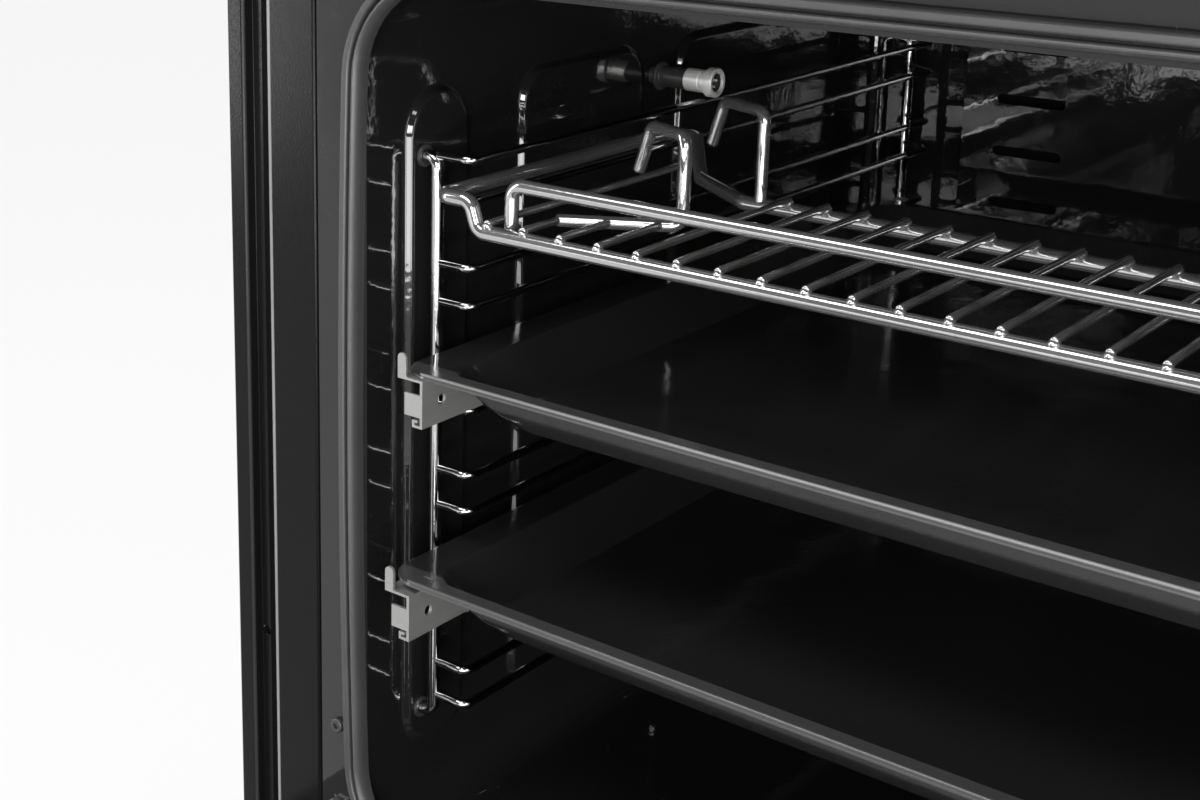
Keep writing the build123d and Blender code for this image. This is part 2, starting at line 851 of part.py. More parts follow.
with BuildPart() as wire_rack:
    rod(half_frame, rack_bend, rack_rod_radius)
    for i in range(rack_cross_count):
        x = (i - (rack_cross_count - 1) / 2) * rack_cross_spacing
        if x <= 0:
            bar((x, rack_front - 1, cross_z), (x, cross_wire_rear(x), cross_z), rack_cross_radius)
    guard_y = rack_front + guard_behind
    rod(
        (
            (-guard_half, guard_y, rack_level),
            (-guard_half, guard_y, rack_level + guard_height),
            (0, guard_y, rack_level + guard_height),
        ),
        rack_bend,
        guard_radius,
    )
    hook_top = rack_level + hook_height
    rod(
        (
            (-front_hook_foot[0], front_hook_foot[1], foot_z),
            (-front_hook_post[0], front_hook_post[1], foot_z),
            (-front_hook_post[0], front_hook_post[1], hook_top),
            (-front_hook_end[0], front_hook_end[1], hook_top),
            (-front_hook_end[0] - hook_end_lean, front_hook_end[1] + 1, hook_top - hook_drop),
        ),
        hook_bend,
        hook_radius,
    )
    rod(
        (
            (-rear_hook_post, rack_rear, rack_level),
            (-rear_hook_post, rack_rear, hook_top),
            (-rear_hook_end[0], rear_hook_end[1], hook_top),
            (-rear_hook_end[0] - hook_end_lean, rear_hook_end[1] + 1, hook_top - hook_drop),
        ),
        hook_bend,
        hook_radius,
    )
    mirror(about=Plane.YZ)
save("wire_rack", wire_rack.part)

# Spit socket on its shaft, turning in the left wall
wall_face = -opening_half
with BuildPart() as spit_socket:
    shaft_end = -body_half + 8
    bar(
        (shaft_end, spit_depth_at, spit_height_at),
        (wall_face + 8, spit_depth_at, spit_height_at),
        spit_shaft_radius,
    )
    steps = (
        (gap, 2.2, spit_ring_radius),
        (2.2, 9.7, spit_sleeve_radius),
        (9.7, 19.5, spit_barrel_radius),
        (19.5, spit_reach, spit_ring_radius),
    )
    for start, end, radius in steps:
        bar(
            (wall_face + start, spit_depth_at, spit_height_at),
            (wall_face + end, spit_depth_at, spit_height_at),
            radius,
        )
    with BuildSketch(across(wall_face + spit_reach - 8)):
        with Locations((spit_depth_at, spit_height_at)):
            Circle(spit_sleeve_radius)
            RegularPolygon(2.2, 6, mode=Mode.SUBTRACT)
    extrude(amount=9, mode=Mode.SUBTRACT)
    with BuildSketch(across(wall_face + spit_reach - 8)):
        with Locations((spit_depth_at, spit_height_at)):
            with PolarLocations(spit_sleeve_radius, 4):
                Circle(1.1)
    extrude(amount=7)
save("spit_socket", spit_socket.part)

with BuildPart() as spit_motor:
    block(
        (-body_half + sheet + 1, -body_half + 22),
        (spit_depth_at - 30, spit_depth_at + 30),
        (spit_height_at - 30, spit_height_at + 30),
    )
    edges = spit_motor.edges().filter_by(Axis.X)
    fillet(edges, radius=8)
    bar(
        (-body_half + 7, spit_depth_at, spit_height_at),
        (-body_half + 23, spit_depth_at, spit_height_at),
        spit_shaft_radius + contact,
        Mode.SUBTRACT,
    )
save("spit_motor", spit_motor.part)

# Heating elements
element_rear = cavity_depth + sheet + insulation + 12


def element(z, front):
    """Double loop of heating tube with both ends going out to the rear."""
    outer, inner = element_x
    rod(
        (
            (-outer, element_rear, z),
            (-outer, front, z),
            (outer, front, z),
            (outer, cavity_depth - 50, z),
            (inner, cavity_depth - 50, z),
            (inner, front + 50, z),
            (-inner, front + 50, z),
            (-inner, element_rear, z),
        ),
        20,
        tube_radius,
    )


with BuildPart() as grill_element:
    element(grill_height_at, grill_front)
save("grill_element", grill_element.part)

with BuildPart() as bottom_element:
    element(bottom_element_z, 60.0)
save("bottom_element", bottom_element.part)

with BuildPart() as ring_element:
    ring_y = cavity_depth - 13
    ring_z = fan_height_at - ring_radius
    with BuildSketch(Plane.XY.offset(fan_height_at)):
        with Locations((ring_radius, ring_y)):
            Circle(tube_radius)
    revolve(axis=Axis((0, ring_y, fan_height_at), (0, 1, 0)), revolution_arc=360)
    for x in (-ring_terminal_x, ring_terminal_x):
        bar((x, ring_y, ring_z), (x, element_rear, ring_z), tube_radius)
save("ring_element", ring_element.part)

# Fan cover: dished plate with a round grille in the middle and slots at its sides
with BuildPart() as fan_cover:
    with BuildSketch(behind(cavity_depth - cover_depth)):
        with Locations((0, fan_height_at)):
            RectangleRounded(cover_width, cover_height, cover_corner)
    extrude(amount=-cover_depth)
    with BuildSketch(behind(cavity_depth - cover_depth + sheet)):
        with Locations((0, fan_height_at)):
            RectangleRounded(cover_width - 2 * sheet, cover_height - 2 * sheet, cover_corner - sheet)
    extrude(amount=-cover_depth, mode=Mode.SUBTRACT)
    with BuildSketch(behind(cavity_depth - cover_depth)):
        with Locations((0, fan_height_at)):
            Circle(3.4)
            for ring in range(1, 6):
                with PolarLocations(11.0 * ring, 6 * ring):
                    Circle(3.4)
            for sign in (-1, 1):
                with Locations((sign * (cover_width / 2 - 34), 0)):
                    with GridLocations(1, 26, 1, 9):
                        SlotOverall(34, 5)
    extrude(amount=-2 * sheet, mode=Mode.SUBTRACT)
save("fan_cover", fan_cover.part)

fan_back_y = cavity_depth - 5
with BuildPart() as convection_fan:
    with BuildSketch(behind(fan_back_y - 1)):
        with Locations((0, fan_height_at)):
            Circle(fan_radius)
    extrude(amount=-1.0)
    with BuildSketch(behind(fan_back_y - 15)):
        with Locations((0, fan_height_at)):
            with PolarLocations(fan_radius - 16, fan_blades):
                Rectangle(28, 1.2)
    extrude(amount=-14.5)
    bar((0, fan_back_y - 14, fan_height_at), (0, fan_back_y, fan_height_at), 8)
    bar((0, fan_back_y - 8, fan_height_at), (0, cavity_depth + 50, fan_height_at), fan_shaft_radius)
save("convection_fan", convection_fan.part)

motor_front = cavity_depth + sheet + insulation + 3
with BuildPart() as fan_motor:
    bar((0, motor_front, fan_height_at), (0, motor_front + 40, fan_height_at), 30)
    bar((0, motor_front - 2, fan_height_at), (0, motor_front + 4, fan_height_at), 11)
    for angle in (30, 150, 270):
        leg = Plane(origin=(0, motor_front + 4, fan_height_at), z_dir=(0, 1, 0)).rotated((0, 0, angle))
        with BuildSketch(leg):
            with Locations((42, 0)):
                Rectangle(44, 10)
        extrude(amount=2)
    bar(
        (0, motor_front - 3, fan_height_at),
        (0, cavity_depth + 51, fan_height_at),
        fan_shaft_radius + contact,
        Mode.SUBTRACT,
    )
save("fan_motor", fan_motor.part)

# Lamp in the roof
with BuildPart() as lamp_lens:
    bar((0, lamp_depth_at, opening_top - 9), (0, lamp_depth_at, opening_top - 1), lamp_radius + 6)
    fillet(lamp_lens.edges().group_by(Axis.Z)[0], radius=5)
save("lamp_lens", lamp_lens.part)

with BuildPart() as lamp_holder:
    lamp_top = opening_top + insulation + 4
    bar((0, lamp_depth_at, opening_top - 0.8), (0, lamp_depth_at, lamp_top), lamp_radius - gap)
    bar((0, lamp_depth_at, opening_top + 1.3), (0, lamp_depth_at, opening_top + 2.5), lamp_radius + 3)
    bar(
        (0, lamp_depth_at, opening_top - 2),
        (0, lamp_depth_at, lamp_top - 2),
        lamp_radius - 3,
        Mode.SUBTRACT,
    )
    bar((0, lamp_depth_at, opening_top + 8), (0, lamp_depth_at, lamp_top - 1), 8)
save("lamp_holder", lamp_holder.part)

# Cooling blower above the cavity
duct_floor = opening_top + sheet + insulation + 6
duct_top = duct_floor + blower_height + 10
with BuildPart() as blower_housing:
    block(
        (blower_x - 62, blower_x + 62),
        (blower_depth_at - 62, blower_depth_at + 62),
        (duct_floor, duct_top),
    )
    block(
        (blower_x - 60, blower_x + 60),
        (blower_depth_at - 60, blower_depth_at + 60),
        (duct_floor + 2, duct_top - 2),
        Mode.SUBTRACT,
    )
    block(
        (blower_x - 180, blower_x + 180),
        (panel_front + 6, blower_depth_at - 61),
        (duct_floor, duct_floor + 26),
    )
    block(
        (blower_x - 178, blower_x + 178),
        (panel_front + 5, blower_depth_at - 63),
        (duct_floor + 2, duct_floor + 24),
        Mode.SUBTRACT,
    )
    block(
        (blower_x - 58, blower_x + 58),
        (blower_depth_at - 64, blower_depth_at - 58),
        (duct_floor + 2, duct_floor + 24),
        Mode.SUBTRACT,
    )
    bar(
        (blower_x, blower_depth_at, duct_top - 3),
        (blower_x, blower_depth_at, duct_top + 1),
        blower_radius - 8,
        Mode.SUBTRACT,
    )
    bar(
        (blower_x, blower_depth_at, duct_floor - 1),
        (blower_x, blower_depth_at, duct_floor + 3),
        fan_shaft_radius + 1,
        Mode.SUBTRACT,
    )
save("blower_housing", blower_housing.part)

with BuildPart() as blower_wheel:
    with BuildSketch(Plane.XY.offset(duct_floor + 5)):
        with Locations((blower_x, blower_depth_at)):
            Circle(blower_radius)
    extrude(amount=1.2)
    with BuildSketch(Plane.XY.offset(duct_floor + 5)):
        with Locations((blower_x, blower_depth_at)):
            with PolarLocations(blower_radius - 5, 24):
                Rectangle(8, 1.2, rotation=25)
    extrude(amount=blower_height - 6)
    with BuildSketch(Plane.XY.offset(duct_floor + blower_height - 2)):
        with Locations((blower_x, blower_depth_at)):
            Circle(blower_radius)
            Circle(blower_radius - 10, mode=Mode.SUBTRACT)
    extrude(amount=1.2)
    bar((blower_x, blower_depth_at, duct_floor + 5), (blower_x, blower_depth_at, duct_floor + 16), 7)
    bar(
        (blower_x, blower_depth_at, duct_floor + 6),
        (blower_x, blower_depth_at, duct_top + 16),
        fan_shaft_radius,
    )
save("blower_wheel", blower_wheel.part)

motor_arm = 50.0
motor_plate = duct_top + 4
motor_top = body_height - sheet - blower_motor_clearance
with BuildPart() as blower_motor:
    bar(
        (blower_x, blower_depth_at, motor_plate + 2),
        (blower_x, blower_depth_at, motor_top),
        blower_motor_radius,
    )
    block(
        (blower_x - motor_arm, blower_x + motor_arm),
        (blower_depth_at - 7, blower_depth_at + 7),
        (motor_plate, motor_plate + 2),
    )
    for sign in (-1, 1):
        x = blower_x + sign * (motor_arm - 1)
        block((x - 1, x + 1), (blower_depth_at - 7, blower_depth_at + 7), (duct_top, motor_plate + 2))
    bar(
        (blower_x, blower_depth_at, duct_top + 3),
        (blower_x, blower_depth_at, duct_top + 17),
        fan_shaft_radius + contact,
        Mode.SUBTRACT,
    )
save("blower_motor", blower_motor.part)

terminal_z = body_height - terminal_below_top - terminal_height / 2
with BuildPart() as terminal_block:
    block(
        (terminal_x - terminal_width / 2, terminal_x + terminal_width / 2),
        (body_depth, body_depth + 18),
        (terminal_z - terminal_height / 2, terminal_z + terminal_height / 2),
    )
    with BuildSketch(behind(body_depth + 18)):
        with Locations((terminal_x, terminal_z)):
            with GridLocations(12, 1, 5, 1):
                Circle(3.2)
    extrude(amount=-6, mode=Mode.SUBTRACT)
save("terminal_block", terminal_block.part)

# Control panel: steel carrier, fascia, display, board and switches
carrier_y = -1.2
carrier_top = body_height + 4
with BuildPart() as panel_carrier:
    block((-front_half + 6, front_half - 6), (carrier_y - sheet, carrier_y), (panel_bottom + 4, carrier_top))
    block(
        (-body_half + 2, body_half - 2),
        (carrier_y, panel_front - 1),
        (body_height - 2 * sheet, body_height - sheet),
    )
    block(
        (-flange_half, flange_half),
        (carrier_y, panel_front - 1),
        (panel_bottom + 4, panel_bottom + 4 + sheet),
    )
    with BuildSketch(behind(carrier_y - sheet)):
        for sign in (-1, 1):
            with Locations((sign * knob_x, knob_height_at)):
                Circle(5)
        with Locations((0, button_height_at)):
            with GridLocations(button_spacing, 1, 3, 1):
                Circle(3)
        with Locations((0, display_height_at)):
            Rectangle(display_width - 20, display_height - 8)
    extrude(amount=-2 * sheet, mode=Mode.SUBTRACT)
save("panel_carrier", panel_carrier.part)

fascia_front = door_outer_y
with BuildPart() as control_fascia:
    block((-front_half, front_half), (fascia_front, carrier_y - sheet - 0.2), (panel_bottom, front_height))
    fillet(control_fascia.edges().group_by(Axis.Y)[0], radius=1.5)
    block(
        (-front_half + panel_wall, front_half - panel_wall),
        (fascia_front + panel_wall, 5),
        (panel_bottom + panel_wall, front_height - panel_wall),
        Mode.SUBTRACT,
    )
    with BuildSketch(behind(fascia_front)):
        for sign in (-1, 1):
            with Locations((sign * knob_x, knob_height_at)):
                Circle(knob_shaft_radius + 1)
        with Locations((0, button_height_at)):
            with GridLocations(button_spacing, 1, 3, 1):
                Circle(button_radius + gap)
        with Locations((0, display_height_at)):
            RectangleRounded(display_width, display_height, 3)
    extrude(amount=-2 * panel_wall, mode=Mode.SUBTRACT)
save("control_fascia", control_fascia.part)

with BuildPart() as display_window:
    with BuildSketch(behind(fascia_front + 0.2)):
        with Locations((0, display_height_at)):
            RectangleRounded(display_width - 2 * contact, display_height - 2 * contact, 3)
    extrude(amount=-panel_wall)
    block(
        (-display_width / 2 - 3, display_width / 2 + 3),
        (fascia_front + panel_wall + 0.1, fascia_front + panel_wall + 1.3),
        (display_height_at - display_height / 2 - 3, display_height_at + display_height / 2 + 3),
    )
save("display_window", display_window.part)

board_y = fascia_front + 14
with BuildPart() as control_board:
    block((-80, 80), (board_y, board_y + 1.6), (panel_bottom + 8, front_height - 10))
    block((-56, 56), (board_y - 8, board_y), (display_height_at - 13, display_height_at + 13))
    with BuildSketch(behind(board_y - 1.5)):
        with Locations((0, button_height_at)):
            with GridLocations(button_spacing, 1, 3, 1):
                Rectangle(6, 6)
    extrude(amount=-1.5)
save("control_board", control_board.part)

switch_front = fascia_front + 9
with BuildPart() as rotary_switches:
    for sign in (-1, 1):
        x = sign * knob_x
        block(
            (x - 18, x + 18),
            (switch_front, switch_front + 17),
            (knob_height_at - 18, knob_height_at + 18),
        )
        bar(
            (x, switch_front - 1, knob_height_at),
            (x, switch_front + 14, knob_height_at),
            knob_shaft_radius + contact,
            Mode.SUBTRACT,
        )
save("rotary_switches", rotary_switches.part)


def knob_at(x):
    """Round knob with a grip bar and a shaft into its switch."""
    with BuildPart() as knob:
        with BuildSketch(behind(fascia_front - 0.6)):
            with Locations((x, knob_height_at)):
                Circle(knob_radius)
        extrude(amount=knob_depth, taper=4)
        front = knob.faces().sort_by(Axis.Y)[0]
        fillet(front.edges(), radius=2)
        tip = fascia_front - 0.6 - knob_depth
        block((x - 1, x + 1), (tip - 0.6, tip + 2), (knob_height_at + 4, knob_height_at + 15))
        bar((x, fascia_front - 2, knob_height_at), (x, switch_front + 12, knob_height_at), knob_shaft_radius)
    return knob.part


save("function_knob", knob_at(-knob_x))
save("temperature_knob", knob_at(knob_x))

button_names = ("timer_minus_button", "timer_set_button", "timer_plus_button")
for i, name in enumerate(button_names):
    with BuildPart() as button:
        x = (i - 1) * button_spacing
        z = button_height_at
        bar((x, fascia_front - 2.4, z), (x, fascia_front + 3.6, z), button_radius)
        fillet(button.edges().group_by(Axis.Y)[0], radius=0.8)
        bar((x, fascia_front + 3, z), (x, fascia_front + 5, z), button_radius + 1.5)
        stem_end = board_y - 1.5 - button_travel - gap
        bar((x, fascia_front + 4, z), (x, stem_end, z), 2.2)
    save(name, button.part)

# Screws: front flange, and housing to trims
with BuildPart() as flange_screws:
    for sign in (-1, 1):
        for z in flange_screw_z:
            x = sign * flange_screw_x
            bar((x, -1.9, z), (x, 0, z), 3.0)
    fillet(flange_screws.edges().group_by(Axis.Y)[0], radius=0.8)
    for sign in (-1, 1):
        for z in flange_screw_z:
            x = sign * flange_screw_x
            bar((x, -0.5, z), (x, 6, z), flange_screw_radius)
            with BuildSketch(behind(-2)):
                with Locations((x, z)):
                    RegularPolygon(1.3, 6)
            extrude(amount=-1.2, mode=Mode.SUBTRACT)
save("flange_screws", flange_screws.part)

housing_screw_y = (60.0, 280.0, 500.0)
with BuildPart() as housing_screws:
    for sign in (-1, 1):
        for y in housing_screw_y:
            x = sign * (body_half - 6)
            bar((x, y, body_height), (x, y, body_height + 2), 3.6)
save("housing_screws", housing_screws.part)


# Door, built shut and then swung open about its hinge axis
def open_door(piece):
    return piece.rotate(door_hinge_axis, 90)


def handle_screw_holes():
    """Holes through the glass and into the frame for the posts' threaded ends."""
    for sign in (-1, 1):
        start = (sign * post_x, door_outer_y - 1, handle_z)
        bar(start, (sign * post_x, post_end, handle_z), handle_screw_radius + contact, Mode.SUBTRACT)


post_end = door_outer_y + glass_thickness + 6
with BuildPart() as door_outer_glass:
    block(
        (-door_width / 2, door_width / 2),
        (door_outer_y, door_outer_y + glass_thickness),
        (door_bottom, door_top),
    )
    chamfer(door_outer_glass.edges().group_by(Axis.Y)[0], length=0.8)
    handle_screw_holes()
save("door_outer_glass", open_door(door_outer_glass.part))

window_half = opening_half - door_frame_lip
window_bottom = opening_bottom + door_frame_lip
window_top = opening_top - door_frame_lip
window_y = door_inner_y - window_recess
with BuildPart() as door_inner_glass:
    block(
        (-window_half - window_rebate + gap, window_half + window_rebate - gap),
        (window_y - glass_thickness, window_y),
        (window_bottom - window_rebate + gap, window_top + window_rebate - gap),
    )
save("door_inner_glass", open_door(door_inner_glass.part))


def window_groove():
    """Groove in the door's frame that holds the edge of the window."""
    block(
        (-window_half - window_rebate, window_half + window_rebate),
        (window_y - glass_thickness - contact, window_y + contact),
        (window_bottom - window_rebate, window_top + window_rebate),
        Mode.SUBTRACT,
    )


profile_outer = door_width / 2 - 8
profile_back = door_outer_y + glass_thickness
with BuildPart() as door_profile:
    block((-profile_outer, -window_half), (profile_back, door_inner_y), (door_bottom + 2, door_top - 2))
    window_groove()
    hollow_inner = hinge_body_outer + 0.2 + profile_wall
    block(
        (-profile_outer + profile_wall, -hollow_inner),
        (profile_back - 1, door_inner_y - profile_wall),
        (door_bottom, door_top),
        Mode.SUBTRACT,
    )
    block(
        (-hinge_body_outer - 0.2, -hinge_body_inner + 0.2),
        (profile_back - 1, door_inner_y - profile_wall),
        (door_bottom, door_bottom + hinge_body_length + 12),
        Mode.SUBTRACT,
    )
    block(
        (-hinge_arm_x - hinge_slot / 2, -hinge_arm_x + hinge_slot / 2),
        (profile_back - 1, door_inner_y + 1),
        (door_bottom, door_bottom + 66),
        Mode.SUBTRACT,
    )
    mirror(about=Plane.YZ)
    handle_screw_holes()
save("door_side_profiles", open_door(door_profile.part))

with BuildPart() as door_hinges:
    for sign in (-1, 1):
        near = sign * hinge_body_inner
        far = sign * hinge_body_outer
        block(
            (min(near, far), max(near, far)),
            (profile_back + 0.4, door_inner_y - profile_wall - 0.4),
            (door_bottom + 3, door_bottom + 3 + hinge_body_length),
        )
        x = sign * hinge_arm_x
        block(
            (x - hinge_slot / 2, x + hinge_slot / 2),
            (profile_back, door_inner_y),
            (door_bottom, door_bottom + 64),
            Mode.SUBTRACT,
        )
        bar((near, hinge_y, hinge_z), (far, hinge_y, hinge_z), hinge_pin_radius)
save("door_hinges", open_door(door_hinges.part))

rail_half = window_half - contact
with BuildPart() as door_rails:
    block((-rail_half, rail_half), (profile_back, door_inner_y), (window_top, door_top - 2))
    with BuildSketch(Plane.XY.offset(door_top - 2)):
        with Locations((0, (profile_back + door_inner_y) / 2)):
            with GridLocations(30, 1, 14, 1):
                SlotOverall(22, 6)
    extrude(amount=-20, mode=Mode.SUBTRACT)
    block((-rail_half, rail_half), (profile_back, door_inner_y), (door_bottom + 2, window_bottom))
    block(
        (-rail_half - 1, rail_half + 1),
        (profile_back + profile_wall, door_inner_y - profile_wall),
        (door_bottom + 2 + profile_wall, window_bottom - window_rebate - profile_wall),
        Mode.SUBTRACT,
    )
    window_groove()
    handle_screw_holes()
save("door_rails", open_door(door_rails.part))

handle_y = door_outer_y - handle_standoff
with BuildPart() as door_handle:
    bar((-handle_length / 2, handle_y, handle_z), (handle_length / 2, handle_y, handle_z), handle_radius)
    fillet(door_handle.edges().filter_by(GeomType.CIRCLE), radius=1.2)
save("door_handle", open_door(door_handle.part))

with BuildPart() as handle_posts:
    for sign in (-1, 1):
        x = sign * post_x
        bar((x, handle_y + 2, handle_z), (x, door_outer_y, handle_z), 6)
        bar((x, door_outer_y - 1, handle_z), (x, post_end, handle_z), handle_screw_radius)
        saddle = (x - 20, handle_y, handle_z)
        bar(saddle, (x + 20, handle_y, handle_z), handle_radius + contact, Mode.SUBTRACT)
save("handle_posts", open_door(handle_posts.part))
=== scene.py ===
import json
import math

import bmesh
import bpy
from mathutils import Matrix, Vector


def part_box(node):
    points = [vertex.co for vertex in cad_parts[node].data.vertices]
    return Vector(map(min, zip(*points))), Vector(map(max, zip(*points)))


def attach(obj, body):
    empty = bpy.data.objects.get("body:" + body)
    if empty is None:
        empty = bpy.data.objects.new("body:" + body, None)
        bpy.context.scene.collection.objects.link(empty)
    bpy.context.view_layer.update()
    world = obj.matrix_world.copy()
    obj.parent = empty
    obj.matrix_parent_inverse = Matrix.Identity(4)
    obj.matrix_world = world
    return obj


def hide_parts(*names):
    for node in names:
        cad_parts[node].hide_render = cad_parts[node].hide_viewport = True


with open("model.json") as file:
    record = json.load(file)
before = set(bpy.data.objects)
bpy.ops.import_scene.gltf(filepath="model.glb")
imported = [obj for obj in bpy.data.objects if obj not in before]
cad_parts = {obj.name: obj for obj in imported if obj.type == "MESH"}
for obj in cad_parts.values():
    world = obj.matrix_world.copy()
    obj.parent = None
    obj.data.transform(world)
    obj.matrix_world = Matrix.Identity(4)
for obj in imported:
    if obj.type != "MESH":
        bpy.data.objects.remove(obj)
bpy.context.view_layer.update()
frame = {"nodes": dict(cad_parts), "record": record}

MM = 0.001
WELD_GAP = 0.000001  # points nearer than this are one point
SHARP_ANGLE = 38.0  # edges that turn by more degrees than this stay sharp
scene = bpy.context.scene

# Sizes in millimetres, as the solids have them.
# Side racks: uprights in the wall and pairs of rails bent round to them
WALL_X = 228.0
WALL_GRIP = 2.0
UPRIGHT_X = 218.4
UPRIGHT_Y = (28.0, 408.0)
UPRIGHT_ENDS = (147.5, 369.0)
UPRIGHT_RADIUS = 2.5
RAIL_X = 202.6
RAIL_RADIUS = 1.7
RAIL_REAR_SLANT = 10.0
LEVELS = (370.0, 330.0, 290.0, 250.0, 210.0, 170.0)
PAIR_GAP = 14.4
WIRE_BEND = 4.0

# Wire rack: frame with its horns, guard bar, hooks and cross wires
RACK_FRONT = 12.0
RACK_REAR = 110.0
RACK_LEVEL = 350.1
HORN_X = (190.5, 203.8)
HORN_Z = 360.4
HORN_REAR = 158.0
FRAME_FRONT_X = 187.0
FRAME_RADIUS = 2.8
FRAME_BEND = 4.5
SLANT_START = 140.0
SLANT_END = 173.0
SLANT_DEPTH = 24.0
GUARD_X = 176.3
GUARD_Y = 16.9
GUARD_Z = 367.3
GUARD_RADIUS = 2.5
HOOK_TOP = 384.7
HOOK_DROP = 17.5
HOOK_RADIUS = 2.3
HOOK_FOOT_Z = 353.3
HOOK_FOOT_FRONT = (168.7, 32.2)
HOOK_FOOT_REAR = (131.0, 53.8)
HOOK_FOOT_WIRES = (133.0, 168.7)  # cross wires between these end on the foot rod
CROSS_Z = 353.7
CROSS_RADIUS = 1.4
CROSS_SPACING = 15.2
CROSS_WIRES_EACH_SIDE = 12
CROSS_PAST_FRONT = 1.4
CROSS_PAST_REAR = 1.0
CROSS_SHORT_OF_FOOT = 1.8
WELD_RADIUS = 1.6
WELD_FROM_TIP = 0.8
WELD_DROP = 0.7

# Spit socket: outlines of its turned pieces, as (X, radius), and its pins
SPIT_Y = 183.0
SPIT_Z = 378.4
SHAFT_RADIUS = 3.5
SLEEVE = (
    (-224.7, 3.5), (-224.7, 5.7), (-224.3, 6.1), (-223.4, 6.1), (-223.0, 5.7),
    (-222.6, 4.6), (-222.2, 4.4), (-210.7, 4.4), (-210.7, 0.0),
)
BARREL = (
    (-210.8, 0.0), (-210.8, 4.4), (-210.4, 4.8), (-204.0, 4.8), (-203.7, 4.5), (-203.0, 4.5),
    (-202.7, 4.8), (-200.9, 4.8), (-200.7, 5.8), (-200.3, 6.15), (-197.0, 6.15), (-196.55, 5.7),
    (-196.55, 4.5), (-196.9, 4.05), (-197.6, 3.95), (-200.5, 3.95), (-200.5, 0.0),
)
# Dark cup in the barrel's bore, as painted shade for the inside of the recess
RECESS_SHADE_LINER = (
    (-200.45, 0.0), (-200.45, 3.9), (-197.5, 3.9), (-197.5, 3.6), (-200.0, 3.6), (-200.0, 0.0),
)
PIN_X = -199.2
PIN_FROM_AXIS = 2.0
PIN_RADII = (0.75, 0.45)
PIN_LENGTH = 1.8
PIN_TURN = 20.0

# Trays: the rim's edge as (inset, drop, corner), the wall's top as (beyond the wall, inset,
# drop, corner), and the strip on the front rim as (inset, rise, corner)
TRAY_RIM = ((0.0, 1.3, 14.0), (0.0, 0.6, 14.0), (0.2, 0.15, 13.8), (0.7, 0.0, 13.3))
TRAY_WALL_X = 197.7
TRAY_WALL_TOP = ((1.6, 5.4, 0.03, 18.6), (0.5, 6.2, 0.4, 18.0), (-0.4, 6.9, 1.6, 17.6))
TRAY_WALL_FOOT = (-7.3, 13.6, 16.0)
TRAY_WALL_FOOT_HEIGHT = 7.2
TRAY_FLOOR_HEIGHT = 1.2
TRAY_FLOOR_BEND = 6.0
TRAY_FLOOR_CORNER = 18.0
TRAY_SHEET = 1.1
STRIP_HEIGHT = 0.9
STRIP_X = 203.6
STRIP_Y = (0.25, 7.1)
STRIP = ((0.0, -0.5, 3.3), (0.0, 0.35, 3.3), (0.15, 0.65, 3.2), (0.45, 0.85, 3.0), (0.9, 0.9, 2.5))
RIB_X = 205.5
RIB_WIDTH = 5.0
RIB_BOTTOM = 216.2
RIB_HEIGHT = 4.0
RIB_SHORTER = 28.0

# Door seal: section as (out from the opening, height off the flange), with a flat lip, a groove
# and a bulb that slopes towards the opening
SEAL_WIDTH = 7.7
SEAL_BOW = 4.0
SEAL_CORNER = 34.3
SEAL_SECTION = (
    (7.7, 0.0), (7.7, 4.7), (7.45, 5.5), (6.9, 6.0), (5.3, 5.96), (4.65, 5.6), (4.35, 4.9),
    (4.3, 1.8), (3.3, 1.76), (3.25, 4.6), (3.0, 5.5), (2.5, 5.95), (1.9, 6.0), (1.2, 5.5),
    (0.55, 4.5), (0.15, 3.1), (0.0, 1.5), (0.0, 0.04),
)

body_of = {}
for body, members in frame["record"]["behaviour"]["bodies"].items():
    for node in members:
        body_of[node] = body


class Value:
    """A number that a node puts out, with the arithmetic of shader maths."""

    def __init__(self, nodes, socket):
        self.nodes = nodes
        self.socket = socket

    def maths(self, operation, *others):
        sockets = dict(enumerate((self, *others)))
        node = self.nodes.add("Math", {"operation": operation}, sockets)
        return Value(self.nodes, node.outputs[0])

    def __add__(self, other):
        return self.maths("ADD", other)

    __radd__ = __add__

    def __mul__(self, other):
        return self.maths("MULTIPLY", other)

    __rmul__ = __mul__

    def __sub__(self, other):
        return self.maths("SUBTRACT", other)

    def __rsub__(self, other):
        return (self * -1.0).maths("ADD", other)

    def __abs__(self):
        return self.maths("ABSOLUTE")

    def larger(self, other):
        return self.maths("MAXIMUM", other)

    def step(self, start, end):
        """0 on the start's side, 1 on the end's side, smooth between them."""
        sockets = {"Value": self, "From Min": start, "From Max": end}
        node = self.nodes.add("MapRange", {"interpolation_type": "SMOOTHSTEP"}, sockets)
        return Value(self.nodes, node.outputs["Result"])


class Nodes:
    """The nodes of a material or of the world."""

    def __init__(self, tree):
        self.tree = tree

    def join(self, source, socket):
        """Feeds a socket from a value or an output, or sets it to a constant."""
        if isinstance(source, Value):
            source = source.socket
        if isinstance(source, bpy.types.NodeSocket):
            self.tree.links.new(source, socket)
        elif socket.type == "RGBA":
            socket.default_value = (*source, 1.0)
        else:
            socket.default_value = source

    def add(self, kind, settings=None, sockets=None):
        """Adds a node with these settings, and joins its sockets, given by name or number."""
        node = self.tree.nodes.new("ShaderNode" + kind)
        for name, setting in (settings or {}).items():
            setattr(node, name, setting)
        for key, source in (sockets or {}).items():
            self.join(source, node.inputs[key])
        return node

    def rays(self, *kinds):
        """1 for rays of these kinds, 0 for all others."""
        path = self.add("LightPath")
        mask, *others = [Value(self, path.outputs["Is %s Ray" % kind]) for kind in kinds]
        for other in others:
            mask = mask.larger(other)
        return mask


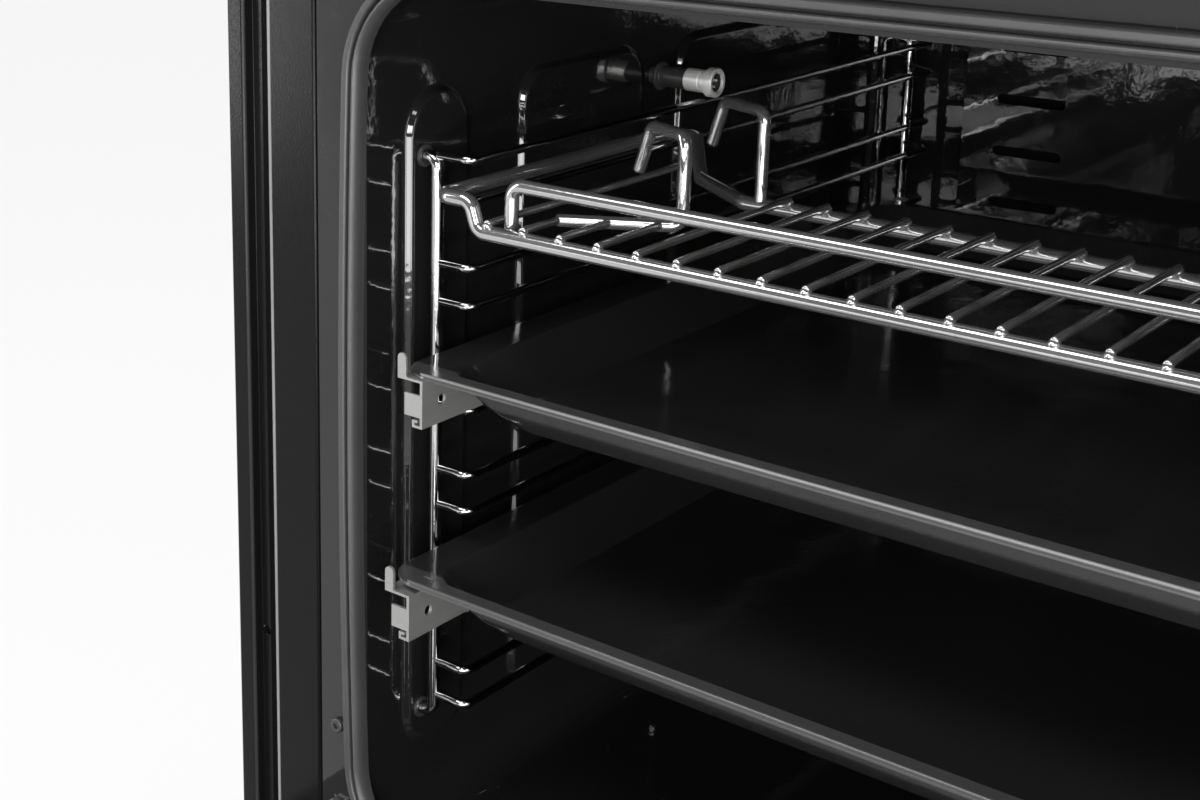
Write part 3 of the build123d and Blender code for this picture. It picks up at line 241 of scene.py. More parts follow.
class Finish(Nodes):
    """A surface finish: one Principled shader and the nodes that feed it."""

    def __init__(self, name, color, roughness, **constants):
        self.material = bpy.data.materials.new(name)
        self.material.use_nodes = True
        super().__init__(self.material.node_tree)
        self.shader = self.tree.nodes["Principled BSDF"]
        self.feed("Base Color", color)
        self.feed("Roughness", roughness)
        for socket, constant in constants.items():
            self.feed(socket.replace("_", " "), constant)
        self.place = self.add("TexCoord").outputs["Object"]

    def feed(self, socket, source):
        self.join(source, self.shader.inputs[socket])

    def stretched(self, x, y, z):
        """The place on the object, in metres, with each axis multiplied."""
        sockets = {"Vector": self.place, "Scale": (x, y, z)}
        return self.add("Mapping", sockets=sockets).outputs["Vector"]

    def noise(self, scale, detail=2.0, where=None):
        sockets = {"Vector": where or self.place, "Scale": scale, "Detail": detail}
        return Value(self, self.add("TexNoise", sockets=sockets).outputs["Fac"])

    def cells(self, scale, where=None, settings=None):
        """Distance to the nearest of many scattered points."""
        sockets = {"Vector": where or self.place, "Scale": scale}
        return Value(self, self.add("TexVoronoi", settings, sockets).outputs["Distance"])

    def crystals(self, scale):
        """A tone of its own for each crystal."""
        cells = self.add("TexVoronoi", sockets={"Vector": self.place, "Scale": scale})
        tones = self.add("SeparateColor", sockets={"Color": cells.outputs["Color"]})
        return Value(self, tones.outputs[0])

    def axes(self):
        """X, Y and Z of the place, as values in metres."""
        node = self.add("SeparateXYZ", sockets={"Vector": self.place})
        return tuple(Value(self, node.outputs[axis]) for axis in "XYZ")

    def blend(self, factor, first, second):
        """Colour that goes from the first to the second as the factor goes from 0 to 1."""
        factor_socket, first_socket, second_socket, result = 0, 6, 7, 2
        sockets = {factor_socket: factor, first_socket: first, second_socket: second}
        return self.add("Mix", {"data_type": "RGBA"}, sockets).outputs[result]

    def bump(self, height, distance):
        """Relief of this height pattern, its full range being this distance in metres."""
        normal = self.shader.inputs["Normal"]
        node = self.add("Bump", sockets={"Height": height, "Distance": distance})
        if normal.links:
            self.join(normal.links[0].from_socket, node.inputs["Normal"])
        self.join(node.outputs["Normal"], normal)


def grey(tone, share=1.0, blue=0.0):
    """Grey that is this share of a tone, its blue raised by that much more."""
    return (tone * share, tone * share, tone * (share + blue))


def enamel_dust(finish, strength):
    """Fine pale specks, scattered in clouds."""
    return finish.cells(620.0).step(0.16, 0.05) * finish.noise(90.0).step(0.55, 0.75) * strength


def glossy_enamel(name, tone, roughness):
    """Fused enamel: slightly wavy gloss, fine pale specks and a trace of haze."""
    finish = Finish(name, grey(tone), roughness)
    dust = enamel_dust(finish, 0.5)
    haze = finish.noise(7.0, 3.0)
    dark = finish.blend(haze, grey(tone, 0.7, 0.05), grey(tone, 1.25, 0.05))
    finish.feed("Base Color", finish.blend(dust, dark, (0.22, 0.22, 0.23)))
    matt_spots = finish.noise(260.0).step(0.5, 0.8)
    finish.feed("Roughness", haze * 0.05 + matt_spots * 0.04 + (roughness - 0.03))
    finish.bump(finish.noise(38.0, 1.5), 0.00025)
    finish.bump(finish.noise(320.0, 1.0), 0.00003)
    return finish.material


def tray_enamel(name, tone, front, rim_level, edge_highlight_tone):
    """Enamel that is satin on the front rim and lightened there by a painted sheen, with a painted
    highlight line along its front edge, and glossy behind.
    """
    finish = Finish(name, grey(tone), 0.2)
    _, y, z = finish.axes()
    rim = 1.0 - y.step(front + 0.0105, front + 0.0125)
    dust = enamel_dust(finish, 0.7)
    haze = finish.noise(7.0, 3.0)
    dark = finish.blend(haze, grey(tone, 0.7), grey(tone, 1.2))
    # Painted sheen: the front rim is satin, and its colour is also made lighter than the enamel's
    # own tone for the light it catches
    satin = finish.blend(haze, grey(tone, 2.6), grey(tone, 3.4))
    # Painted highlight: a pale line along the rim's front top edge
    front_edge = y.step(front + 0.0012, front + 0.0007)
    edge = front_edge * z.step(rim_level - 0.0009, rim_level - 0.0005)
    whole = finish.blend(rim, dark, satin)
    body = finish.blend(edge * (haze * 0.5 + 0.6), whole, grey(edge_highlight_tone))
    finish.feed("Base Color", finish.blend(dust * 0.6, body, (0.18, 0.18, 0.19)))
    finish.feed("Roughness", rim * 0.07 + haze * 0.05 + 0.07)
    finish.bump(finish.noise(30.0, 1.5), 0.0005)
    finish.bump(finish.noise(340.0, 1.0), 0.00003)
    return finish.material


def powder_paint(name, tone, roughness, specular=0.5, highlight_folds=()):
    """Baked paint with a fine even grain, and painted highlight lines along the fold lines given
    as (X, tone).
    """
    finish = Finish(name, grey(tone), roughness, Specular_IOR_Level=specular)
    cloud = finish.noise(9.0, 4.0)
    color = finish.blend(cloud, grey(tone, 0.88), grey(tone, 1.12))
    if highlight_folds:
        x, y, _ = finish.axes()
        on_front = y.step(0.0016, 0.0008)
        for fold, light in highlight_folds:
            near = abs(abs(x) - fold * MM).step(0.0011, 0.0004)
            # Painted highlight: a lighter line on the front face along each fold, standing in for
            # the light its rounded edge catches
            fold_highlight = near * on_front * (cloud * 0.6 + 0.55)
            color = finish.blend(fold_highlight, color, grey(light))
    finish.feed("Base Color", color)
    matt_spots = finish.noise(500.0).step(0.4, 0.7)
    finish.feed("Roughness", cloud * 0.08 + matt_spots * 0.05 + (roughness - 0.06))
    finish.bump(finish.noise(1400.0), 0.00004)
    return finish.material


def plated_wire(name, tone, roughness, metallic):
    """Bright chromium plate over drawn wire."""
    finish = Finish(name, grey(tone), roughness, Metallic=metallic)
    mist = finish.noise(25.0, 3.0)
    finish.feed("Base Color", finish.blend(mist, grey(tone, 0.9), grey(tone, 1.05)))
    finish.feed("Roughness", mist * 0.07 + (roughness - 0.03))
    finish.bump(finish.noise(700.0), 0.00002)
    return finish.material


def brushed_steel(name, tone, roughness, along="y", metallic=1.0):
    """Rolled or brushed steel with fine lines along one axis."""
    finish = Finish(name, grey(tone), roughness, Metallic=metallic)
    across_scale, along_scale = 900.0, 12.0
    scales = [along_scale if axis == along else across_scale for axis in "xyz"]
    lines = finish.noise(1.0, 3.0, finish.stretched(*scales))
    cloud = finish.noise(14.0, 4.0)
    shade = lines * 0.7 + cloud * 0.3
    dark, light = grey(tone, 0.78, -0.02), grey(tone, 1.15, -0.02)
    finish.feed("Base Color", finish.blend(shade, dark, light))
    finish.feed("Roughness", lines * 0.18 + cloud * 0.08 + (roughness - 0.1))
    finish.bump(lines, 0.00002)
    return finish.material


def zinc_sheet(name):
    """Galvanised sheet with its crystal pattern."""
    finish = Finish(name, (0.4, 0.41, 0.42), 0.5, Metallic=0.55)
    tone = finish.crystals(115.0)
    finish.feed("Base Color", finish.blend(tone, (0.33, 0.34, 0.355), (0.41, 0.42, 0.43)))
    finish.feed("Roughness", tone * 0.1 + finish.noise(40.0, 4.0) * 0.1 + 0.44)
    finish.bump(finish.noise(60.0, 3.0), 0.00004)
    return finish.material


def silicone(name, tone):
    """Extruded silicone: soft satin with faint lines and dust."""
    finish = Finish(name, grey(tone), 0.42)
    cloud = finish.noise(30.0, 4.0)
    dust = finish.noise(420.0, 3.0).step(0.58, 0.8)
    shade = cloud * 0.6 + dust * 0.4
    finish.feed("Base Color", finish.blend(shade, grey(tone, 0.8), grey(tone, 1.35)))
    finish.feed("Roughness", cloud * 0.15 + 0.34)
    finish.bump(finish.noise(600.0), 0.00004)
    return finish.material


def moulded_plastic(name, color, roughness):
    """Moulded plastic with a fine spark-eroded grain."""
    finish = Finish(name, color, roughness)
    cloud = finish.noise(20.0, 3.0)
    dark, light = (tuple(part * share for part in color) for share in (0.88, 1.12))
    finish.feed("Base Color", finish.blend(cloud, dark, light))
    finish.feed("Roughness", cloud * 0.1 + (roughness - 0.05))
    finish.bump(finish.cells(1500.0), 0.00003)
    return finish.material


def mineral_wool(name):
    """Matted fibres, from brown in the hollows to straw yellow."""
    finish = Finish(name, (0.68, 0.6, 0.38), 0.95)
    strands = finish.noise(160.0, 8.0, finish.stretched(1.0, 0.35, 3.0))
    finish.feed("Base Color", finish.blend(strands, (0.45, 0.37, 0.2), (0.82, 0.76, 0.56)))
    finish.bump(strands, 0.003)
    return finish.material


def heated_steel(name):
    """Tubular element steel: dark, with the bluish and brown tints of heat."""
    finish = Finish(name, (0.12, 0.12, 0.13), 0.42, Metallic=1.0)
    tint = finish.noise(11.0, 4.0)
    patches = tint.step(0.35, 0.65)
    finish.feed("Base Color", finish.blend(patches, (0.11, 0.11, 0.13), (0.2, 0.16, 0.12)))
    finish.feed("Roughness", tint * 0.2 + 0.3)
    finish.bump(finish.noise(500.0, 3.0), 0.00004)
    return finish.material


def fired_ceramic(name):
    """Unglazed white ceramic with fine pits."""
    finish = Finish(name, (0.82, 0.79, 0.72), 0.6)
    pits = finish.noise(380.0, 3.0)
    finish.feed("Base Color", finish.blend(pits, (0.72, 0.69, 0.62), (0.88, 0.86, 0.8)))
    finish.feed("Roughness", pits * 0.2 + 0.5)
    finish.bump(pits, 0.00008)
    return finish.material


def frosted_glass(name):
    """Pressed lamp glass with a hammered surface."""
    finish = Finish(name, (0.86, 0.87, 0.84), 0.3, Transmission_Weight=0.6)
    ripple = finish.cells(260.0)
    crests = ripple.step(0.1, 0.7)
    finish.feed("Base Color", finish.blend(crests, (0.8, 0.82, 0.8), (0.93, 0.94, 0.92)))
    finish.feed("Roughness", ripple * 0.15 + 0.22)
    finish.bump(ripple, 0.0004)
    return finish.material


def printed_board(name):
    """Circuit board: solder mask over tracks, with tinned pads."""
    finish = Finish(name, (0.02, 0.12, 0.06), 0.35)
    long_in_z = finish.stretched(1.0, 1.0, 0.25)
    tracks = finish.cells(260.0, long_in_z, {"distance": "MANHATTAN"}).step(0.28, 0.2)
    pads = finish.cells(170.0).step(0.17, 0.13)
    mask = finish.blend(tracks, (0.012, 0.1, 0.05), (0.03, 0.2, 0.09))
    finish.feed("Base Color", finish.blend(pads, mask, (0.6, 0.6, 0.58)))
    finish.feed("Metallic", pads)
    finish.feed("Roughness", pads * 0.1 + 0.3)
    finish.bump(tracks, 0.0001)
    return finish.material


def tinted_glass(name, tone):
    """Dark oven glass with faint smears."""
    finish = Finish(name, grey(tone), 0.05, Specular_IOR_Level=0.3)
    smear = finish.noise(6.0, 5.0, finish.stretched(1.0, 2.6, 1.0))
    finish.feed("Base Color", finish.blend(smear, grey(tone, 0.8, 0.05), grey(tone, 1.25, 0.05)))
    finish.feed("Roughness", smear.step(0.5, 0.8) * 0.08 + 0.03)
    finish.bump(finish.noise(2.5, 1.0), 0.0004)
    return finish.material


ENAMEL = glossy_enamel("Black cavity enamel", 0.008, 0.055)
upper_low, upper_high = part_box("upper_tray")
lower_low, lower_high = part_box("lower_tray")
# Each tray's last number is the tone of its painted highlight line along the front edge
UPPER_TRAY_ENAMEL = tray_enamel("Upper tray enamel", 0.014, upper_low.y, upper_high.z, 0.15)
LOWER_TRAY_ENAMEL = tray_enamel("Lower tray enamel", 0.014, lower_low.y, lower_high.z, 0.06)
# The frame paint carries painted highlight lines along its three fold lines
FRAME_PAINT = powder_paint(
    "Dark grey frame paint",
    0.0045,
    0.2,
    specular=0.1,
    highlight_folds=((297.2, 0.05), (289.0, 0.03), (275.8, 0.2)),
)
DOOR_PAINT = powder_paint("Black door paint", 0.02, 0.4)
SEAL = silicone("Grey seal silicone", 0.036)
CHROME = plated_wire("Chromed wire", 0.5, 0.07, 1.0)
RACK_CHROME = plated_wire("Satin chromed rack wire", 0.45, 0.1, 0.9)
RUNNER = brushed_steel("Satin runner steel", 0.28, 0.46, metallic=0.62)
SPIT_STEEL = brushed_steel("Turned spit steel", 0.8, 0.36, "x", metallic=0.6)
PLAIN_STEEL = brushed_steel("Plain bright steel", 0.5, 0.38, "z")
BLACK_STEEL = brushed_steel("Blackened screw steel", 0.05, 0.34, "z", metallic=0.5)
ZINC = zinc_sheet("Galvanised sheet")
WOOL = mineral_wool("Mineral wool")
ELEMENT = heated_steel("Heat tinted element")
CERAMIC = fired_ceramic("Fired ceramic")
LAMP_GLASS = frosted_glass("Frosted lamp glass")
BLACK_PLASTIC = moulded_plastic("Black moulded plastic", (0.025, 0.025, 0.026), 0.5)
GREY_PLASTIC = moulded_plastic("Grey moulded plastic", (0.2, 0.2, 0.2), 0.5)
PANEL_GLOSS = tinted_glass("Black panel gloss", 0.006)
GLASS = tinted_glass("Dark door glass", 0.007)
KNOB_METAL = brushed_steel("Spun knob aluminium", 0.36, 0.36, "x", metallic=0.85)
BOARD = printed_board("Circuit board")

# What each node is finished in; the others are galvanised sheet
node_finish = {
    "cavity": ENAMEL,
    "fan_cover": ENAMEL,
    "upper_tray": UPPER_TRAY_ENAMEL,
    "lower_tray": LOWER_TRAY_ENAMEL,
    "side_trim_left": FRAME_PAINT,
    "side_trim_right": FRAME_PAINT,
    "base_trim": FRAME_PAINT,
    "door_seal": SEAL,
    "wire_rack": RACK_CHROME,
    "ladder_left": CHROME,
    "ladder_right": CHROME,
    "upper_rails": RUNNER,
    "lower_rails": RUNNER,
    "upper_slide_left": RUNNER,
    "upper_slide_right": RUNNER,
    "lower_slide_left": RUNNER,
    "lower_slide_right": RUNNER,
    "upper_ball_cages": RUNNER,
    "lower_ball_cages": RUNNER,
    "spit_socket": SPIT_STEEL,
    "ladder_bushes": BLACK_STEEL,
    "flange_screws": BLACK_STEEL,
    "housing_screws": PLAIN_STEEL,
    "hinge_arms": PLAIN_STEEL,
    "door_hinges": PLAIN_STEEL,
    "convection_fan": PLAIN_STEEL,
    "fan_motor": PLAIN_STEEL,
    "blower_motor": PLAIN_STEEL,
    "grill_element": ELEMENT,
    "bottom_element": ELEMENT,
    "ring_element": ELEMENT,
    "cavity_insulation": WOOL,
    "lamp_holder": CERAMIC,
    "lamp_lens": LAMP_GLASS,
    "blower_wheel": BLACK_PLASTIC,
    "spit_motor": BLACK_PLASTIC,
    "rotary_switches": GREY_PLASTIC,
    "terminal_block": GREY_PLASTIC,
    "timer_minus_button": BLACK_PLASTIC,
    "timer_set_button": BLACK_PLASTIC,
    "timer_plus_button": BLACK_PLASTIC,
    "control_board": BOARD,
    "control_fascia": PANEL_GLOSS,
    "display_window": PANEL_GLOSS,
    "function_knob": KNOB_METAL,
    "temperature_knob": KNOB_METAL,
    "door_outer_glass": GLASS,
    "door_inner_glass": GLASS,
    "door_side_profiles": DOOR_PAINT,
    "door_rails": DOOR_PAINT,
    "door_handle": KNOB_METAL,
    "handle_posts": KNOB_METAL,
}
for node, solid in frame["nodes"].items():
    solid.data.materials.clear()
    solid.data.materials.append(node_finish.get(node, ZINC))


def finished(name, mesh, node, sharp_angle=SHARP_ANGLE, surface=None):
    """Makes a piece of this mesh, with the body and finish of the node it stands for."""
    data = bpy.data.meshes.new(name)
    mesh.to_mesh(data)
    mesh.free()
    if "custom_normal" in data.attributes:
        data.attributes.remove(data.attributes["custom_normal"])
    data.shade_smooth()
    data.set_sharp_from_angle(angle=math.radians(sharp_angle))
    data.materials.append(surface or node_finish.get(node, ZINC))
    piece = bpy.data.objects.new(name, data)
    scene.collection.objects.link(piece)
    even = piece.modifiers.new("Even shading", "WEIGHTED_NORMAL")
    even.keep_sharp = True
    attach(piece, body_of[node])
    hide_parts(node)


def outward(mesh):
    bmesh.ops.recalc_face_normals(mesh, faces=mesh.faces)


def joined_up(mesh):
    """Merges the points that meet, and turns all faces outwards."""
    bmesh.ops.remove_doubles(mesh, verts=mesh.verts, dist=WELD_GAP)
    outward(mesh)


def both_sides(mesh):
    """Adds the mirror image on the right and joins it in the middle."""
    geometry = list(mesh.verts) + list(mesh.edges) + list(mesh.faces)
    bmesh.ops.mirror(mesh, geom=geometry, matrix=Matrix.Identity(4), merge_dist=WELD_GAP, axis="X")
    joined_up(mesh)


def rounded(mesh, geometry, width, segments, affect="EDGES"):
    """Rounds these edges or corners, by a width in millimetres."""
    return bmesh.ops.bevel(
        mesh,
        geom=geometry,
        offset=width * MM,
        offset_type="OFFSET",
        segments=segments,
        profile=0.5,
        affect=affect,
        clamp_overlap=affect == "EDGES",
        material=-1,
    )


def softened(node, width):
    """The node's own shape, merged, with its sharp edges rounded off."""
    mesh = bmesh.new()
    mesh.from_mesh(frame["nodes"][node].data)
    bmesh.ops.remove_doubles(mesh, verts=mesh.verts, dist=0.00001)
    flat = math.radians(0.6)
    bmesh.ops.dissolve_limit(mesh, angle_limit=flat, verts=mesh.verts, edges=mesh.edges)
    if width > 0:
        sharp = []
        for edge in mesh.edges:
            if len(edge.link_faces) == 2 and edge.calc_face_angle() > math.radians(SHARP_ANGLE):
                sharp.append(edge)
        rounded(mesh, sharp, width, 2)
    finished(node + "_shown", mesh, node)


def once_each(items):
    return list(dict.fromkeys(items))


def ring_of(geometry):
    """The corners in this geometry, and the edges between them."""
    corners = [part for part in geometry if isinstance(part, bmesh.types.BMVert)]
    edges = [part for part in geometry if isinstance(part, bmesh.types.BMEdge)]
    return corners, [edge for edge in edges if all(corner in corners for corner in edge.verts)]


def drawn_on(mesh, ring, shift):
    """Pushes the ring of edges out along a straight run and returns the new ring."""
    corners, edges = ring_of(bmesh.ops.extrude_edge_only(mesh, edges=ring)["geom"])
    bmesh.ops.translate(mesh, verts=corners, vec=shift)
    return edges


def bent_rod(mesh, route, bend, radius, sides, ends=(True, True)):
    """Round rod along this route in millimetres, with bent corners and rounded ends."""
    route = [Vector(point) * MM for point in route]
    along = (route[1] - route[0]).normalized()
    place = Matrix.Translation(route[0]) @ along.to_track_quat("Z", "Y").to_matrix().to_4x4()
    disc = bmesh.ops.create_circle(
        mesh, cap_ends=False, segments=sides, radius=radius * MM, matrix=place
    )
    ring = once_each(edge for corner in disc["verts"] for edge in corner.link_edges)
    first = ring
    here = route[0]
    for i in range(1, len(route) - 1):
        along = (route[i] - route[i - 1]).normalized()
        onward = (route[i + 1] - route[i]).normalized()
        turn = along.angle(onward)
        cut_back = bend * MM * math.tan(turn / 2)
        bend_start = route[i] - along * cut_back
        ring = drawn_on(mesh, ring, bend_start - here)
        axis = along.cross(onward).normalized()
        swept = bmesh.ops.spin(
            mesh,
            geom=once_each(corner for edge in ring for corner in edge.verts) + ring,
            cent=bend_start + axis.cross(along) * bend * MM,
            axis=axis,
            dvec=(0.0, 0.0, 0.0),
            angle=turn,
            steps=max(3, round(math.degrees(turn) / 12)),
            use_merge=False,
            use_duplicate=False,
        )
        ring = ring_of(swept["geom_last"])[1]
        here = route[i] + onward * cut_back
    ring = drawn_on(mesh, ring, route[-1] - here)
    for closed, rim in zip(ends, (first, ring)):
        if closed:
            bmesh.ops.contextual_create(mesh, geom=rim)
            rounded(mesh, rim, radius * 0.45, 3)


def outline(mesh, half_width, start, end, level, corner, segments, bow, closed):
    """Edges of a flat rounded rectangle, symmetric about the middle, its ends bowed outwards."""
    before = set(mesh.edges)
    middle = (start + end) / 2
    place = Matrix.Translation((0.0, middle * MM, level * MM))
    size = Matrix.Diagonal((2 * half_width * MM, (end - start) * MM, 1.0, 1.0))
    made = bmesh.ops.create_grid(mesh, x_segments=1, y_segments=1, size=0.5, matrix=place @ size)
    cut = rounded(mesh, made["verts"], corner, segments, "VERTICES")
    if not closed:
        bmesh.ops.delete(mesh, geom=[cut["verts"][0].link_faces[0]], context="FACES_ONLY")
    edges = [edge for edge in mesh.edges if edge not in before]
    if bow:
        sides = [e for e in edges if abs(e.verts[0].co.x - e.verts[1].co.x) < WELD_GAP]
        bmesh.ops.subdivide_edges(mesh, edges=sides, cuts=11)
        edges = [edge for edge in mesh.edges if edge not in before]
        for point in once_each(point for edge in edges for point in edge.verts):
            reach = (point.co.y / MM - middle) / ((end - start) / 2)
            point.co.x += math.copysign(bow * MM * (1.0 - reach * reach), point.co.x)
    return edges


def walled(mesh, stations, segments, bow=0.0, floor=True):
    """Joins outlines, each to the one before it; the last may be closed by a floor."""
    previous = None
    for station in stations:
        closed = floor and station is stations[-1]
        edges = outline(mesh, *station, segments, bow, closed)
        if previous:
            bmesh.ops.bridge_loops(mesh, edges=previous + edges)
        previous = edges


def turned(name, profile, surface):
    """Turned piece on the spit's axis, from its outline."""
    mesh = bmesh.new()
    corners = [mesh.verts.new(Vector((x, SPIT_Y, SPIT_Z + radius)) * MM) for x, radius in profile]
    edges = [mesh.edges.new(pair) for pair in zip(corners, corners[1:])]
    bmesh.ops.spin(
        mesh,
        geom=corners + edges,
        cent=Vector((0.0, SPIT_Y, SPIT_Z)) * MM,
        axis=(1.0, 0.0, 0.0),
        dvec=(0.0, 0.0, 0.0),
        angle=math.tau,
        steps=64,
        use_merge=True,
        use_duplicate=False,
    )
    joined_up(mesh)
    finished(name, mesh, "spit_socket", sharp_angle=30.0, surface=surface)


def side_rack(side, sign):
    """Two uprights bent into the wall, and six pairs of rails."""
    mesh = bmesh.new()
    front, rear = UPRIGHT_Y
    bottom, top = UPRIGHT_ENDS
    in_wall = WALL_X + WALL_GRIP
    for y in UPRIGHT_Y:
        route = (
            (-in_wall, y, top),
            (-UPRIGHT_X, y, top),
            (-UPRIGHT_X, y, bottom),
            (-in_wall, y, bottom),
        )
        bent_rod(mesh, route, WIRE_BEND, UPRIGHT_RADIUS, 18)
    for level in LEVELS:
        for z in (level, level - PAIR_GAP):
            route = (
                (-UPRIGHT_X, front, z),
                (-RAIL_X, front, z),
                (-RAIL_X, rear - RAIL_REAR_SLANT, z),
                (-UPRIGHT_X, rear, z),
            )
            bent_rod(mesh, route, WIRE_BEND, RAIL_RADIUS, 12)
    bmesh.ops.scale(mesh, vec=(sign, 1.0, 1.0), verts=mesh.verts)
    joined_up(mesh)
    finished("side_rack_" + side, mesh, "ladder_" + side)


def rack_frame():
    """The rack's outer wire, raised into a horn at each side."""
    mesh = bmesh.new()
    inner, outer = HORN_X
    route = (
        (0, RACK_FRONT, RACK_LEVEL),
        (-FRAME_FRONT_X, RACK_FRONT, RACK_LEVEL),
        (-inner, RACK_FRONT, HORN_Z),
        (-outer, RACK_FRONT, HORN_Z),
        (-outer, HORN_REAR, HORN_Z),
        (-inner, HORN_REAR, HORN_Z),
        (-SLANT_END, RACK_REAR + SLANT_DEPTH, RACK_LEVEL),
        (-SLANT_START, RACK_REAR, RACK_LEVEL),
        (0, RACK_REAR, RACK_LEVEL),
    )
    bent_rod(mesh, route, FRAME_BEND, FRAME_RADIUS, 20, ends=(False, False))
    both_sides(mesh)
    finished("rack_frame", mesh, "wire_rack")


def rack_guard():
    """Bar that stands up behind the rack's front."""
    mesh = bmesh.new()
    route = (
        (-GUARD_X, GUARD_Y, RACK_LEVEL),
        (-GUARD_X, GUARD_Y, GUARD_Z),
        (0, GUARD_Y, GUARD_Z),
    )
    bent_rod(mesh, route, FRAME_BEND, GUARD_RADIUS, 18, ends=(True, False))
    both_sides(mesh)
    finished("rack_guard", mesh, "wire_rack")


def rack_hooks():
    """Two hooks on each side, bent out and down at their tops."""
    mesh = bmesh.new()
    foot_front_x, foot_front_y = HOOK_FOOT_FRONT
    foot_rear_x, foot_rear_y = HOOK_FOOT_REAR
    front_hook = (
        (-foot_front_x, foot_front_y, HOOK_FOOT_Z),
        (-foot_rear_x, foot_rear_y, HOOK_FOOT_Z),
        (-foot_rear_x, foot_rear_y, HOOK_TOP),
        (-150.2, 62.4, HOOK_TOP),
        (-155.7, 63.4, HOOK_TOP - HOOK_DROP),
    )
    rear_hook = (
        (-133.0, RACK_REAR, RACK_LEVEL),
        (-133.0, RACK_REAR, HOOK_TOP),
        (-155.5, 120.0, HOOK_TOP),
        (-161.0, 121.0, HOOK_TOP - HOOK_DROP),
    )
    for route in (front_hook, rear_hook):
        bent_rod(mesh, route, WIRE_BEND, HOOK_RADIUS, 16)
    both_sides(mesh)
    finished("rack_hooks", mesh, "wire_rack")


def ends_on_foot(x):
    """Whether the cross wire at this distance from the middle ends on a hook's foot rod."""
    nearest, farthest = HOOK_FOOT_WIRES
    return nearest < x < farthest


def cross_wire_rear(x):
    """Where the cross wire at this distance from the middle ends."""
    if ends_on_foot(x):
        foot_front_x, foot_front_y = HOOK_FOOT_FRONT
        foot_rear_x, foot_rear_y = HOOK_FOOT_REAR
        slope = (foot_rear_y - foot_front_y) / (foot_front_x - foot_rear_x)
        return foot_front_y - CROSS_SHORT_OF_FOOT + (foot_front_x - x) * slope
    slope = SLANT_DEPTH / (SLANT_END - SLANT_START)
    return RACK_REAR + CROSS_PAST_REAR + max(x - SLANT_START, 0.0) * slope


def rack_cross_wires():
    """Wires from front to rear, with a small weld at each end that lies on the frame."""
    mesh = bmesh.new()
    for i in range(-CROSS_WIRES_EACH_SIDE, CROSS_WIRES_EACH_SIDE + 1):
        x = i * CROSS_SPACING
        front = RACK_FRONT - CROSS_PAST_FRONT
        rear = cross_wire_rear(abs(x))
        bent_rod(mesh, ((x, front, CROSS_Z), (x, rear, CROSS_Z)), 1.0, CROSS_RADIUS, 10)
        welds = [front + WELD_FROM_TIP]
        if not ends_on_foot(abs(x)):
            welds.append(rear - WELD_FROM_TIP)
        for y in welds:
            uneven = 0.5 * math.sin(5.0 * i + y)
            place = Matrix.Translation(Vector((x, y, CROSS_Z - WELD_DROP)) * MM)
            lean = Matrix.Rotation(uneven, 4, "Z")
            squash = Matrix.Diagonal((1.15, 1.35, 0.85, 1.0))
            bmesh.ops.create_icosphere(
                mesh, subdivisions=2, radius=WELD_RADIUS * MM, matrix=place @ lean @ squash
            )
    outward(mesh)
    finished("rack_cross_wires", mesh, "wire_rack")


def spit_socket():
    """Dark sleeve, turned barrel with its end ring, a blackened cup in the recess as painted
    shade, and four pins.
    """
    shaft_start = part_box("spit_socket")[0].x / MM
    turned("spit_sleeve", ((shaft_start, 0.0), (shaft_start, SHAFT_RADIUS)) + SLEEVE, BLACK_STEEL)
    turned("spit_barrel", BARREL, SPIT_STEEL)
    # Painted shade: a blackened cup lines the recess and darkens it as shade would
    turned("spit_recess_shade_liner", RECESS_SHADE_LINER, BLACK_STEEL)
    mesh = bmesh.new()
    on_axis = Matrix.Translation(Vector((PIN_X, SPIT_Y, SPIT_Z)) * MM)
    off_axis = Matrix.Translation((0.0, 0.0, PIN_FROM_AXIS * MM))
    lying = Matrix.Rotation(math.radians(90.0), 4, "Y")
    for quarter in range(4):
        turn = Matrix.Rotation(math.radians(90.0 * quarter + PIN_TURN), 4, "X")
        bmesh.ops.create_cone(
            mesh,
            cap_ends=True,
            segments=20,
            radius1=PIN_RADII[0] * MM,
            radius2=PIN_RADII[1] * MM,
            depth=PIN_LENGTH * MM,
            matrix=on_axis @ turn @ off_axis @ lying,
        )
    outward(mesh)
    finished("spit_pins", mesh, "spit_socket")


